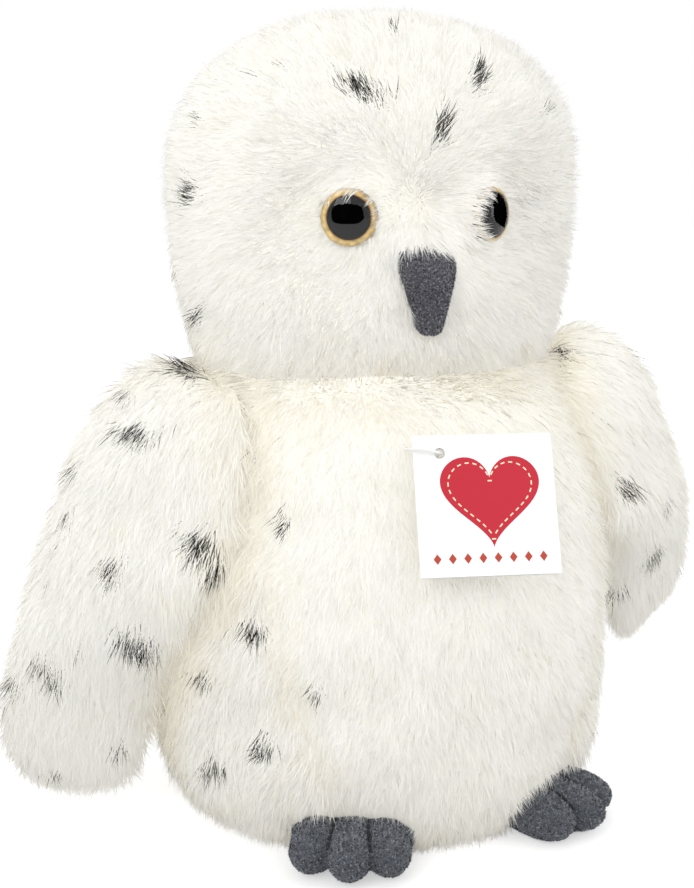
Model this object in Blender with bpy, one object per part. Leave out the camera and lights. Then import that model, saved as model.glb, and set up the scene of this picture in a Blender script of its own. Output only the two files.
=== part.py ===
# Standing plush owl: plush covers over filled forms, hanging wings, fleece feet and beak,
# plastic safety eyes and a folded hang tag on a nylon pin.
# Metres, +Z up. The owl faces -Y and stands on z = 0; its right side is -X.
# Every form is a stack of rings, whose sizes are shares of the form's own width and height.

import math

import bmesh
import bpy
import numpy as np
from mathutils import Matrix, Vector

for old in list(bpy.data.objects):
    bpy.data.objects.remove(old, do_unlink=True)

# Plush and seams
plush_thickness = 0.005       # backing with its laid pile
seam_gap = 0.0003             # between two sewn edges
seat_gap = 0.0003             # between a piece and what carries it
filling_gap = 0.0005          # between a cover and its filling
overrun = 0.020               # how far a cutter passes the faces that it cuts
ring_rise = 0.0002            # least rise of a ring over the one below it
weld_distance = 0.00002       # points closer than this are one

# Body
neck_height = 0.155
body_half_width = 0.082
body_front = 0.080            # from the body's middle to the belly
body_back = 0.064
body_middle_y = 0.002
belly_half_width = 0.060
back_half_width = 0.050
base_half_width = 0.050
base_half_depth = 0.045
base_edge_height = 0.0075     # the base panel's seam above the floor

# Head
head_height = 0.115           # from the neck's seam to the crown
head_half_width = 0.072
head_front = 0.0448
face_x = -0.0012              # the eyes' middle is sewn a little to the owl's right
head_back = 0.058
head_middle_y = 0.000
face_seam_y = 0.010
socket_depth = 0.0095
socket_x = 0.0300
socket_radius = 0.021

# Pellet pouch
pouch_half_width = 0.040
pouch_half_depth = 0.036
pouch_height = 0.030

# Eyes
eye_x = 0.0243                # from the eyes' middle
eye_y = -0.0328
eye_rise = 0.0483             # from the neck's seam to the eye's middle
eye_turn_degrees = 31.0
eye_diameter = 0.0180
dome_height = 0.0052
iris_diameter = 0.0166
iris_thickness = 0.0006
plate_thickness = 0.0012
shank_diameter = 0.0046
shank_length = 0.0120
shank_rib = 0.0003
washer_diameter = 0.0130
washer_thickness = 0.0022
washer_depth = 0.0036         # from the eye's seat to the washer

# Beak
beak_top_rise = 0.0405        # from the neck's seam
beak_tip_rise = 0.0115
beak_half_width = 0.0094
beak_half_depth = 0.0085
beak_x = -0.0030
beak_middle_y = -0.0405
fleece_thickness = 0.0014

# Wings
wing_plush = 0.0036           # a wing's two layers are thinner than the body's plush
wing_half_thickness = 0.0080
wing_edge = 0.0090            # seam allowance around the wadding
wing_clearance = 0.0008       # between a wing at rest and the body
wing_lift_degrees = 65.0      # how far a wing lifts sideways about its shoulder seam
left_wing_turn_degrees = 4.0  # how the left wing hangs: turned forward, swept back and
left_wing_sweep_degrees = 12.5  # held out from the body
left_wing_spread_degrees = 12.0

# Feet
foot_x = 0.0325
foot_y = -0.0520
foot_splay_degrees = 29.0
toe_spread_degrees = 15.0
toe_half_width = 0.0083
toe_half_height = 0.0082
toe_half_length = 0.0175
toe_reach = 0.0290            # from the foot's middle to the middle toe's tip
side_toe_reach = 0.0245
toe_spacing = 0.0143
sole_seam_height = 0.0042
flat_cut = 0.0005             # how deep a form is cut flat on the floor

# Hang tag
tag_width = 0.0435
tag_height = 0.0435
card_thickness = 0.0005
leaf_gap = 0.0007
leaf_spring = 0.0016          # how much wider the leaves stand apart at their free edge
tag_x = 0.0002
tag_drop = 0.0366             # from the neck's seam down to the card's middle
tag_stand_off = 0.0099        # from the belly to the card's middle
tag_yaw_degrees = -15.0
tag_lean_degrees = 1.05       # how much more than the belly the card leans
tag_roll_degrees = 0.4
tag_hole_diameter = 0.0034
tag_hole_inset = 0.0082
tag_hole_drop = 0.0056
pin_diameter = 0.0009
pin_clearance = 0.0006
pin_bar_length = 0.0080

# Rings of the body: share of neck height, then shares of half width, front and back
body_shares = [
    (0.000, 0.78, 0.775, 0.78), (0.013, 0.84, 0.84, 0.84), (0.050, 0.91, 0.905, 0.91),
    (0.130, 0.965, 0.955, 0.96), (0.245, 0.995, 0.985, 0.99), (0.387, 1.0, 1.0, 1.0),
    (0.516, 0.995, 0.99, 1.0), (0.645, 0.97, 0.94, 0.98), (0.774, 0.925, 0.86, 0.93),
    (0.890, 0.86, 0.745, 0.87), (0.968, 0.805, 0.64, 0.82), (1.000, 0.785, 0.595, 0.80),
]
# Rings of the head: share of the height from neck to crown, then as for the body
head_shares = [
    (0.000, 0.895, 1.00, 0.94), (0.060, 0.925, 1.02, 0.96), (0.200, 0.957, 0.99, 0.99),
    (0.290, 0.975, 0.965, 1.00), (0.370, 0.990, 0.965, 1.00), (0.443, 1.000, 0.97, 1.00),
    (0.515, 0.998, 0.985, 0.995), (0.595, 0.985, 1.00, 0.98), (0.690, 0.950, 1.00, 0.95),
    (0.790, 0.865, 0.92, 0.86), (0.890, 0.700, 0.76, 0.70),
    (0.957, 0.490, 0.54, 0.50), (0.990, 0.250, 0.28, 0.26),
]
# Rings of the beak: share of its height, half width, half depth, share of bulge forward
beak_shares = [
    (0.02, 0.30, 0.30, 0.45), (0.10, 0.47, 0.55, 0.42), (0.25, 0.62, 0.74, 0.38),
    (0.45, 0.80, 0.90, 0.32), (0.65, 0.97, 0.92, 0.24), (0.82, 1.00, 0.72, 0.14),
    (0.93, 0.86, 0.48, 0.04), (0.985, 0.55, 0.26, 0.00),
]
# Rings along a wing, from the shoulder seam to the tip: the inner edge, then the outer edge,
# as shares of the body's half width outward and front backward and of the neck's height;
# last the share of the wing's half thickness
wing_shares = [
    (0.725, -0.290, 0.958, 0.830, 0.075, 0.990, 0.35),
    (0.715, -0.340, 0.935, 1.000, 0.065, 0.990, 0.65),
    (0.720, -0.390, 0.890, 1.140, 0.065, 0.940, 0.90),
    (0.750, -0.445, 0.813, 1.270, 0.070, 0.845, 1.00),
    (0.793, -0.465, 0.722, 1.350, 0.090, 0.735, 1.00),
    (0.860, -0.470, 0.626, 1.420, 0.110, 0.632, 1.00),
    (0.940, -0.320, 0.495, 1.505, 0.115, 0.490, 1.00),
    (0.985, -0.155, 0.374, 1.555, 0.175, 0.374, 1.00),
    (1.025, -0.075, 0.270, 1.580, 0.238, 0.270, 0.95),
    (1.062, -0.025, 0.180, 1.573, 0.275, 0.180, 0.85),
    (1.120, 0.025, 0.116, 1.520, 0.275, 0.116, 0.65),
    (1.220, 0.088, 0.077, 1.427, 0.250, 0.077, 0.35),
]

# Counts
ring_points = 34
filling_points = 24
wing_points = 9
eye_points = 16
toe_points = 8
toe_rings = 7
pin_sides = 6
lift_steps = 4                # places of the lift at which a wing is cut clear


# Heights that follow
total_height = neck_height + head_height
eye_height = neck_height + eye_rise
beak_top = neck_height + beak_top_rise
beak_tip = neck_height + beak_tip_rise


# Materials


def make_material(name, hex_colour, roughness, alpha=1.0):
    material = bpy.data.materials.new(name)
    material.use_nodes = True
    shader = material.node_tree.nodes["Principled BSDF"]
    values = [int(hex_colour[i:i + 2], 16) / 255 for i in (0, 2, 4)]
    linear = [((v + 0.055) / 1.055) ** 2.4 if v > 0.04045 else v / 12.92 for v in values]
    shader.inputs["Base Color"].default_value = (*linear, 1)
    shader.inputs["Roughness"].default_value = roughness
    shader.inputs["Metallic"].default_value = 0
    shader.inputs["Alpha"].default_value = alpha
    material.diffuse_color = (*linear, alpha)
    return material


white_plush = make_material("white plush", "f7f5ee", 0.95)
spotted_plush = make_material("white plush with dark spots", "efece2", 0.95)
filling_fibre = make_material("polyester filling", "f2f2f0", 1.0)
pouch_cloth = make_material("pellet pouch cloth", "d8d2c4", 0.9)
slate_fleece = make_material("slate fleece", "55585f", 0.95)
beak_fleece = make_material("beak fleece", "50505a", 0.9)
clear_plastic = make_material("clear dome plastic", "fafafa", 0.05, 0.25)
iris_print = make_material("gold iris print", "c99a4e", 0.35)
black_plastic = make_material("black plastic", "141414", 0.3)
washer_plastic = make_material("white washer plastic", "e8e8e4", 0.5)
tag_card = make_material("white coated card", "fbfbfb", 0.45)
pin_nylon = make_material("nylon pin", "f4f4f4", 0.4)


# Meshes


def make_object(name, mesh, material):
    mesh.materials.clear()
    mesh.materials.append(material)
    thing = bpy.data.objects.new(name, mesh)
    bpy.context.collection.objects.link(thing)
    return thing


def mesh_from(points, faces):
    mesh = bpy.data.meshes.new("form")
    mesh.from_pydata([tuple(p) for p in points], [], [tuple(f) for f in faces])
    mesh.update()
    return mesh


def lofted_mesh(rings, first_pole=None, last_pole=None):
    # rings: rows of points, each counter-clockwise seen from the last row's side; each
    # quad is split the same way, so that two offsets of one form stay parallel
    rows, columns = len(rings), len(rings[0])
    points = [p for ring in rings for p in ring]
    faces = []
    for i in range(rows - 1):
        for j in range(columns):
            k = (j + 1) % columns
            faces.append((i * columns + j, i * columns + k, (i + 1) * columns + k))
            faces.append((i * columns + j, (i + 1) * columns + k, (i + 1) * columns + j))
    last = (rows - 1) * columns
    if first_pole is None:
        faces.append(tuple(range(columns - 1, -1, -1)))
    else:
        points.append(first_pole)
        pole = len(points) - 1
        faces.extend((pole, (j + 1) % columns, j) for j in range(columns))
    if last_pole is None:
        faces.append(tuple(range(last, last + columns)))
    else:
        points.append(last_pole)
        pole = len(points) - 1
        faces.extend((last + j, last + (j + 1) % columns, pole) for j in range(columns))
    return mesh_from(points, faces)


def smooth_rows(table, steps):
    # Catmull-Rom rows through a table's rows, steps to each interval
    rows = np.array(table, float)
    before = 2 * rows[0] - rows[1]
    after = 2 * rows[-1] - rows[-2]
    padded = np.vstack([before, rows, after])
    result = []
    for i in range(len(rows) - 1):
        a, b, c, d = padded[i:i + 4]
        for k in range(steps):
            t = k / steps
            result.append(b + (c - a) * t / 2 + (a - 2.5 * b + 2 * c - d / 2) * t ** 2
                          + (1.5 * (b - c) + (d - a) / 2) * t ** 3)
    result.append(rows[-1])
    return np.array(result)


def oval_ring(half_width, front, back, middle_y, height, count):
    # x = w cos a, y = m + d sin a, with d the front or the back depth
    ring = []
    for j in range(count):
        angle = 2 * math.pi * (j + 0.5) / count
        depth = back if math.sin(angle) > 0 else front
        ring.append((half_width * math.cos(angle), middle_y + depth * math.sin(angle), height))
    return ring


def grid_normals(grid):
    # normals of a closed stack of rings, from each point's neighbours
    along = np.roll(grid, -1, axis=1) - np.roll(grid, 1, axis=1)
    up = np.gradient(grid, axis=0)
    normals = np.cross(along, up)
    return normals / np.linalg.norm(normals, axis=2, keepdims=True)


def body_grid(count):
    return np.array([
        oval_ring(w * body_half_width, f * body_front, b * body_back, body_middle_y,
                  h * neck_height, count)
        for h, w, f, b in body_shares])


def head_grid(count):
    crown = total_height - neck_height - seam_gap
    grid = np.array([
        oval_ring(w * head_half_width, f * head_front, b * head_back, head_middle_y,
                  neck_height + seam_gap + h * crown, count)
        for h, w, f, b in smooth_rows(head_shares, 1)])
    # each eye sits in a soft hollow: depth e^(-(r / R)^2)
    for side in (-1, 1):
        middle_x = face_x + side * socket_x
        reach = (grid[..., 0] - middle_x) ** 2 + (grid[..., 2] - eye_height) ** 2
        hollow = socket_depth * np.exp(-reach / socket_radius ** 2)
        grid[..., 1] += np.where(grid[..., 1] < head_middle_y, hollow, 0)
    return grid


def body_form(inset, count=ring_points, open_top=False, top=neck_height):
    # the body's outline shrunk in by inset, its flat foot on the floor
    grid = body_grid(count)
    shrunk = grid - grid_normals(grid) * inset
    shrunk[0, :, 2] = inset
    for i in range(1, len(grid)):
        shrunk[i, :, 2] = np.maximum(shrunk[i, :, 2], inset + i * ring_rise)
    shrunk[-1, :, 2] = top
    rings = [list(map(tuple, ring)) for ring in shrunk]
    if open_top:
        rings.append([(x, y, top + overrun) for x, y, z in rings[-1]])
    return lofted_mesh(rings)


def head_form(inset, count=ring_points, open_neck=False, bottom=neck_height + seam_gap):
    grid = head_grid(count)
    shrunk = grid - grid_normals(grid) * inset
    shrunk[0, :, 2] = bottom
    rings = [list(map(tuple, ring)) for ring in shrunk]
    if open_neck:
        rings.insert(0, [(x, y, bottom - overrun) for x, y, z in rings[0]])
    return lofted_mesh(rings, last_pole=(0, head_middle_y, total_height - inset))


# Boolean operations


def outward_faces(mesh):
    # weld slivers and turn every face outward
    work = bmesh.new()
    work.from_mesh(mesh)
    bmesh.ops.remove_doubles(work, verts=work.verts, dist=weld_distance)
    bmesh.ops.dissolve_degenerate(work, edges=work.edges, dist=weld_distance)
    bmesh.ops.recalc_face_normals(work, faces=work.faces)
    work.to_mesh(mesh)
    work.free()
    return mesh


def boolean(mesh, cutter, operation):
    target = bpy.data.objects.new("target", mesh)
    tool = bpy.data.objects.new("tool", cutter)
    for thing in (target, tool):
        bpy.context.collection.objects.link(thing)
    step = target.modifiers.new("cut", "BOOLEAN")
    step.operation = operation
    step.solver = "EXACT"
    step.object = tool
    bpy.context.view_layer.update()
    graph = bpy.context.evaluated_depsgraph_get()
    result = bpy.data.meshes.new_from_object(target.evaluated_get(graph))
    for thing in (target, tool):
        bpy.data.objects.remove(thing, do_unlink=True)
    return outward_faces(result)


def cut(mesh, *cutters):
    for cutter in cutters:
        mesh = boolean(mesh, cutter, "DIFFERENCE")
    return mesh


def keep(mesh, *cutters):
    for cutter in cutters:
        mesh = boolean(mesh, cutter, "INTERSECT")
    return mesh


def box_mesh(low, high):
    (x0, y0, z0), (x1, y1, z1) = low, high
    lower = [(x0, y0, z0), (x1, y0, z0), (x1, y1, z0), (x0, y1, z0)]
    upper = [(x, y, z1) for x, y, z in lower]
    return lofted_mesh([lower, upper])


def turned_mesh(profile, count):
    # profile: (radius, height) pairs down the outside and back, closed on the axis where
    # the first and last radii are zero, or as a ring where they aren't
    hollow = profile[0][0] > 0
    rings = [[(r * math.cos(2 * math.pi * j / count), r * math.sin(2 * math.pi * j / count), h)
              for j in range(count)] for r, h in profile if r > 0]
    if not hollow:
        return lofted_mesh(rings, (0, 0, profile[0][1]), (0, 0, profile[-1][1]))
    rows = len(rings)
    faces = []
    for i in range(rows):
        for j in range(count):
            k = (j + 1) % count
            n = (i + 1) % rows
            faces.append((i * count + j, i * count + k, n * count + k, n * count + j))
    return mesh_from([p for ring in rings for p in ring], faces)


def moved(mesh, matrix):
    result = mesh.copy()
    result.transform(matrix)
    return result


def mirrored(mesh):
    # the left-hand copy of a right-hand mesh, faces still outward
    result = mesh.copy()
    result.transform(Matrix.Scale(-1, 4, Vector((1, 0, 0))))
    result.flip_normals()
    return result


def front_outline_mesh(half_width, shares, y0, y1, margin):
    # an upright outline seen from the front, pushed through from y0 to y1; the shares give
    # height as a share of neck height and half width as a share of half_width
    rows = smooth_rows(shares, 3)
    sides = [(w * half_width + margin, h * neck_height) for h, w in rows]
    sides[0] = (sides[0][0], sides[0][1] - overrun)
    sides[-1] = (sides[-1][0], sides[-1][1] + overrun)
    outline = [(x, z) for x, z in sides] + [(-x, z) for x, z in reversed(sides)]
    near = [(x, y0, z) for x, z in outline]
    far = [(x, y1, z) for x, z in outline]
    return lofted_mesh([far, near])


# Seam outlines: share of neck height, share of the panel's half width
belly_shares = [(0.00, 0.52), (0.12, 0.66), (0.25, 0.79), (0.40, 0.93), (0.55, 1.00),
                (0.72, 0.97), (0.88, 0.92), (1.00, 0.90)]
back_shares = [(0.00, 0.66), (0.15, 0.84), (0.35, 0.97), (0.55, 1.00), (0.75, 0.94),
               (1.00, 0.86)]
wide = body_half_width + overrun
tall = total_height + overrun
half_seam = seam_gap / 2


# Body: belly, two sides, back and base around the filling and the pellet pouch
def belly_cutter(margin):
    return front_outline_mesh(belly_half_width, belly_shares, -wide, body_middle_y, margin)


def back_cutter(margin):
    return front_outline_mesh(back_half_width, back_shares, body_middle_y, wide, margin)


def base_cutter(margin):
    low = oval_ring(base_half_width + margin, base_half_depth + margin,
                    base_half_depth + margin, body_middle_y, -overrun, ring_points)
    high = [(x, y, base_edge_height + margin) for x, y, z in low]
    return lofted_mesh([low, high])


body_shell = cut(body_form(0), body_form(plush_thickness, open_top=True))
belly = cut(keep(body_shell, belly_cutter(-half_seam)), base_cutter(seam_gap))
back = cut(keep(body_shell, back_cutter(-half_seam)), base_cutter(seam_gap))
side = cut(body_shell, belly_cutter(half_seam), back_cutter(half_seam), base_cutter(seam_gap))
right_side = keep(side, box_mesh((-wide, -wide, -overrun), (0, wide, tall)))
left_side = keep(side, box_mesh((0, -wide, -overrun), (wide, wide, tall)))
base = keep(body_shell, base_cutter(0))

make_object("body_belly_panel", belly, white_plush)
make_object("body_side_panel_right", right_side, spotted_plush)
make_object("body_side_panel_left", left_side, spotted_plush)
make_object("body_back_panel", back, spotted_plush)
make_object("body_base_panel", base, white_plush)


def pouch_mesh(margin, open_below=False):
    # a bun that rests on the base
    floor = plush_thickness + seat_gap - margin
    top = plush_thickness + seat_gap + pouch_height + margin
    rings = []
    for step_share, width_share in ((0.0, 0.86), (0.18, 0.97), (0.42, 1.0), (0.66, 0.92),
                                    (0.86, 0.70), (0.97, 0.38)):
        height = floor + step_share * (top - floor)
        rings.append(oval_ring(width_share * pouch_half_width + margin,
                               width_share * pouch_half_depth + margin,
                               width_share * pouch_half_depth + margin,
                               body_middle_y, height, filling_points))
    if open_below:
        rings.insert(0, [(x, y, floor - overrun) for x, y, z in rings[0]])
    return lofted_mesh(rings, last_pole=(0, body_middle_y, top))


filling_inset = plush_thickness + filling_gap
body_filling = body_form(filling_inset, top=neck_height - half_seam)
body_filling = cut(body_filling, pouch_mesh(seat_gap, open_below=True))
make_object("body_filling", body_filling, filling_fibre)
make_object("pellet_pouch", pouch_mesh(0), pouch_cloth)


# Eyes: a clear dome over a printed iris on a plate, whose ribbed shank passes the face and
# holds a washer behind it; the eye's own axis is +Z before it is placed
eye_radius = eye_diameter / 2
iris_radius = iris_diameter / 2
shank_radius = shank_diameter / 2
washer_radius = washer_diameter / 2
plate_top = plate_thickness
iris_seat = plate_top + seat_gap / 3
iris_top = iris_seat + iris_thickness
dome_seat = plate_top + seat_gap / 3
pocket_radius = iris_radius + seat_gap / 3
pocket_top = iris_top + seat_gap / 3


def dome_profile():
    # r = R cos a, h = seat + H sin a over the flat rim, with a pocket for the iris below
    shell = [(eye_radius * math.cos(a), dome_seat + dome_height * (0.16 + 0.84 * math.sin(a)))
             for a in np.radians([0, 22, 42, 60, 76])]
    return ([(0, pocket_top), (pocket_radius, pocket_top), (pocket_radius, dome_seat),
             (eye_radius, dome_seat)] + shell + [(0, dome_seat + dome_height)])


def shank_profile():
    # a plate, then a shank with three ribs and a blunt end
    profile = [(0, -shank_length), (shank_radius * 0.6, -shank_length)]
    for share in (0.92, 0.74, 0.56):
        height = -shank_length * share
        profile += [(shank_radius, height), (shank_radius + shank_rib, height + shank_rib),
                    (shank_radius, height + 2 * shank_rib)]
    profile += [(shank_radius, 0), (eye_radius, 0), (eye_radius, plate_top), (0, plate_top)]
    return profile


washer_bore = shank_radius + shank_rib + seat_gap / 3
washer_low = -washer_depth - washer_thickness
washer_profile = [(washer_bore, washer_low), (washer_radius * 0.72, washer_low),
                  (washer_radius, -washer_depth - washer_thickness * 0.4),
                  (washer_radius, -washer_depth), (washer_bore, -washer_depth)]
iris_profile = [(0, iris_seat), (iris_radius, iris_seat), (iris_radius, iris_top), (0, iris_top)]


def eye_matrix(side):
    # the eye looks ahead and turned out to its own side
    turn = math.radians(eye_turn_degrees)
    axis = Vector((side * math.sin(turn), -math.cos(turn), 0))
    spin = axis.to_track_quat("Z", "Y").to_matrix().to_4x4()
    return Matrix.Translation((face_x + side * eye_x, eye_y, eye_height)) @ spin


def rod_mesh(radius, low, high, count=eye_points):
    return turned_mesh([(0, low), (radius, low), (radius, high), (0, high)], count)


# the face is pressed flat under the plate, pierced by the shank and flat at the washer
shank_room = shank_radius + shank_rib + seat_gap
face_room = [(0, -overrun), (washer_radius + seat_gap, -overrun),
             (washer_radius + seat_gap, seat_gap - washer_depth),
             (shank_room, seat_gap - washer_depth), (shank_room, -seat_gap),
             (eye_radius + seat_gap, -seat_gap), (eye_radius + seat_gap, overrun), (0, overrun)]
eye_seats = []
washer_rooms = []
for side_name, side_sign in (("right", -1), ("left", 1)):
    place = eye_matrix(side_sign)
    make_object("eye_dome_" + side_name, moved(turned_mesh(dome_profile(), eye_points), place),
                clear_plastic)
    make_object("eye_iris_" + side_name, moved(turned_mesh(iris_profile, eye_points), place),
                iris_print)
    make_object("eye_plate_" + side_name, moved(turned_mesh(shank_profile(), eye_points), place),
                black_plastic)
    make_object("eye_washer_" + side_name, moved(turned_mesh(washer_profile, eye_points), place),
                washer_plastic)
    eye_seats.append(moved(turned_mesh(face_room, eye_points), place))
    washer_rooms.append(moved(rod_mesh(washer_radius + filling_gap, -shank_length - filling_gap,
                                       overrun), place))


# Head: a face and two back panels around the head's filling
def head_box(x0, x1, y0, y1):
    return box_mesh((x0, y0, neck_height - overrun), (x1, y1, tall))


head_shell = cut(head_form(0), head_form(plush_thickness, open_neck=True))
face = keep(head_shell, head_box(-wide, wide, -wide, face_seam_y - half_seam))
face = cut(face, *eye_seats)
rear_right = keep(head_shell, head_box(-wide, -half_seam, face_seam_y + half_seam, wide))
rear_left = keep(head_shell, head_box(half_seam, wide, face_seam_y + half_seam, wide))
head_filling = cut(head_form(filling_inset, bottom=neck_height + seam_gap), *washer_rooms)

make_object("head_face_panel", face, white_plush)
make_object("head_back_panel_right", rear_right, spotted_plush)
make_object("head_back_panel_left", rear_left, spotted_plush)
make_object("head_filling", head_filling, filling_fibre)


# Beak: a stuffed fleece beak sewn on the face
def beak_mesh(inset, count=14):
    length = beak_top - beak_tip
    rings = []
    for h, w, d, bulge in beak_shares:
        width = w * beak_half_width - inset
        depth = d * beak_half_depth - inset
        height = beak_tip + inset + h * (length - 2 * inset)
        middle = beak_middle_y - bulge * beak_half_depth
        if min(width, depth) > 0:
            ring = oval_ring(width, depth, depth, middle, height, count)
            rings.append([(beak_x + x, y, z) for x, y, z in ring])
    return lofted_mesh(rings)


head_seat = head_form(-seat_gap)
beak_cover = cut(beak_mesh(0), head_seat, beak_mesh(fleece_thickness))
beak_filling = cut(beak_mesh(fleece_thickness + seat_gap), head_seat)
make_object("beak_cover", beak_cover, beak_fleece)
make_object("beak_filling", beak_filling, filling_fibre)


# Wings: an outer and an inner layer of plush around thin wadding
def wing_frames(turn_degrees, sweep_degrees, spread_degrees):
    # at each ring of a right wing: its middle, the directions of its width and thickness,
    # its half width and its half thickness
    size = Vector((-body_half_width, body_front, neck_height))
    edges = []
    for row in wing_shares:
        inner = Vector(size[k] * row[k] for k in range(3))
        outer = Vector(size[k] * row[k + 3] for k in range(3))
        edges.append((inner, outer, row[6] * wing_half_thickness))
    pivot = (edges[0][0] + edges[0][1]) / 2
    spin = (Matrix.Rotation(math.radians(turn_degrees), 3, "Z")
            @ Matrix.Rotation(math.radians(sweep_degrees), 3, "X")
            @ Matrix.Rotation(math.radians(spread_degrees), 3, "Y"))
    edges = [(pivot + spin @ (inner - pivot), pivot + spin @ (outer - pivot), thick)
             for inner, outer, thick in edges]
    middles = [(inner + outer) / 2 for inner, outer, thick in edges]
    frames = []
    for i, (inner, outer, thick) in enumerate(edges):
        ahead = middles[min(i + 1, len(middles) - 1)] - middles[max(i - 1, 0)]
        across = (outer - inner).normalized()
        outward = across.cross(ahead).normalized()
        frames.append((middles[i], across, outward, (outer - inner).length / 2, thick))
    return pivot, frames


def wing_layer(frames, side):
    # half a lens on its side of the seam, with a shallow pocket for the wadding
    rings = []
    for middle, across, outward, half_width, half_thick in frames:
        pocket_width = max(half_width - wing_edge, half_width / 2)
        pocket_depth = max(half_thick - wing_plush, 0)
        outer = []
        inner = []
        for j in range(wing_points):
            angle = math.pi * j / (wing_points - 1)
            # w cos a across, t sin a outward, and the pocket the same on its smaller sizes
            outer.append((half_width * math.cos(angle), half_thick * math.sin(angle)))
            inner.append((pocket_width * math.cos(angle), pocket_depth * math.sin(angle)))
        section = outer + inner[::-1]
        ring = [tuple(middle + across * s + outward * side * (t + half_seam))
                for s, t in section]
        rings.append(ring)
    return lofted_mesh(rings)


def wing_wadding(frames):
    rings = []
    for middle, across, outward, half_width, half_thick in frames[2:-2]:
        width = max(half_width - wing_edge, half_width / 2) - filling_gap
        thick = max(half_thick - wing_plush, 0) - filling_gap / 2
        rings.append([tuple(middle + across * width * math.cos(a) + outward * thick * math.sin(a))
                      for a in (2 * math.pi * j / (2 * wing_points - 2)
                                for j in range(2 * wing_points - 2))])
    return lofted_mesh(rings)


# a wing stays clear of the body and head all through its lift
wing_room = boolean(body_form(-wing_clearance, top=neck_height),
                    head_form(-wing_clearance, bottom=neck_height - seat_gap), "UNION")
for side_name, hang in (("right", (0, 0, 0)),
                        ("left", (left_wing_turn_degrees, left_wing_sweep_degrees,
                                  left_wing_spread_degrees))):
    pivot, frames = wing_frames(*hang)
    pieces = [("wing_outer_panel_", outward_faces(wing_layer(frames, 1)), spotted_plush),
              ("wing_inner_panel_", outward_faces(wing_layer(frames, -1)), spotted_plush),
              ("wing_wadding_", outward_faces(wing_wadding(frames)), filling_fibre)]
    rooms = [wing_room]
    for step in range(1, lift_steps + 1):
        lift = -math.radians(wing_lift_degrees * step / lift_steps)
        rooms.append(moved(wing_room, Matrix.Translation(pivot)
                           @ Matrix.Rotation(lift, 4, frames[0][1])
                           @ Matrix.Translation(-pivot)))
    if side_name == "left":
        pivot.x = -pivot.x
    for name, mesh, material in pieces:
        mesh = cut(mesh, *rooms)
        if side_name == "left":
            mesh = mirrored(mesh)
        mesh.transform(Matrix.Translation(-pivot))
        wing = make_object(name + side_name, mesh, material)
        wing.location = pivot


# Feet: three stuffed toes each, an upper and a sole sewn together near the floor
def egg_mesh(half_length, half_width, half_height, middle, direction):
    # x = L cos a along the toe, y and z a circle of radius sin a
    rings = []
    for i in range(1, toe_rings):
        angle = math.pi * i / toe_rings
        rings.append([(-half_length * math.cos(angle),
                       half_width * math.sin(angle) * math.cos(turn),
                       half_height * math.sin(angle) * math.sin(turn))
                      for turn in (2 * math.pi * (j + 0.5) / toe_points
                                   for j in range(toe_points))])
    mesh = lofted_mesh(rings, (-half_length, 0, 0), (half_length, 0, 0))
    mesh.transform(Matrix.Translation(middle) @ Matrix.Rotation(direction, 4, "Z"))
    return outward_faces(mesh)


def foot_form(inset):
    # three toes and a heel joined; the foot points along -Y before it is turned out
    height = toe_half_height - flat_cut
    ahead = -math.pi / 2
    toes = []
    for place_share, reach in ((-1, side_toe_reach), (0, toe_reach), (1, side_toe_reach)):
        spread = ahead + place_share * math.radians(toe_spread_degrees)
        tip = Vector((place_share * toe_spacing, -reach, height))
        back = Vector((math.cos(spread), math.sin(spread), 0)) * toe_half_length
        toes.append(egg_mesh(toe_half_length - inset, toe_half_width - inset,
                             toe_half_height - inset, tip - back, spread))
    heel = egg_mesh(toe_half_length - inset, toe_spacing + toe_half_width * 0.7 - inset,
                    toe_half_height - inset, Vector((0, -toe_half_length * 0.15, height)), ahead)
    mesh = heel
    for toe in toes:
        mesh = boolean(mesh, toe, "UNION")
    return mesh


def slab(low, high):
    return box_mesh((-wide, -wide, low), (wide, wide, high))


foot_place = (Matrix.Translation((-foot_x, foot_y, 0))
              @ Matrix.Rotation(-math.radians(foot_splay_degrees), 4, "Z"))
foot_outer = moved(foot_form(0), foot_place)
foot_inner = moved(foot_form(fleece_thickness), foot_place)
foot_core = moved(foot_form(fleece_thickness + filling_gap), foot_place)
foot_seat = body_form(-seat_gap, top=neck_height)
foot_seat.transform(Matrix.Translation((0, 0, seat_gap)))
floor_room = slab(-overrun, 0)
foot_cavity = cut(foot_inner, slab(-overrun, fleece_thickness))
foot_shell = cut(foot_outer, foot_seat, floor_room, foot_cavity)
upper = keep(foot_shell, slab(sole_seam_height + half_seam, tall))
sole = keep(foot_shell, slab(-overrun, sole_seam_height - half_seam))
core = cut(foot_core, slab(-overrun, fleece_thickness + filling_gap), foot_seat)
for side_name in ("right", "left"):
    for name, mesh, material in (("foot_upper_", upper, slate_fleece),
                                 ("foot_sole_", sole, slate_fleece),
                                 ("foot_filling_", core, filling_fibre)):
        mesh = mesh.copy() if side_name == "right" else mirrored(mesh)
        make_object(name + side_name, mesh, material)


def belly_y(x, z):
    # the belly's surface at a height, between the two rings there
    heights = [row[0] * neck_height for row in body_shares]
    half_width = np.interp(z, heights, [row[1] * body_half_width for row in body_shares])
    depth = np.interp(z, heights, [row[2] * body_front for row in body_shares])
    return body_middle_y - depth * math.sqrt(1 - (x / half_width) ** 2)


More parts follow.
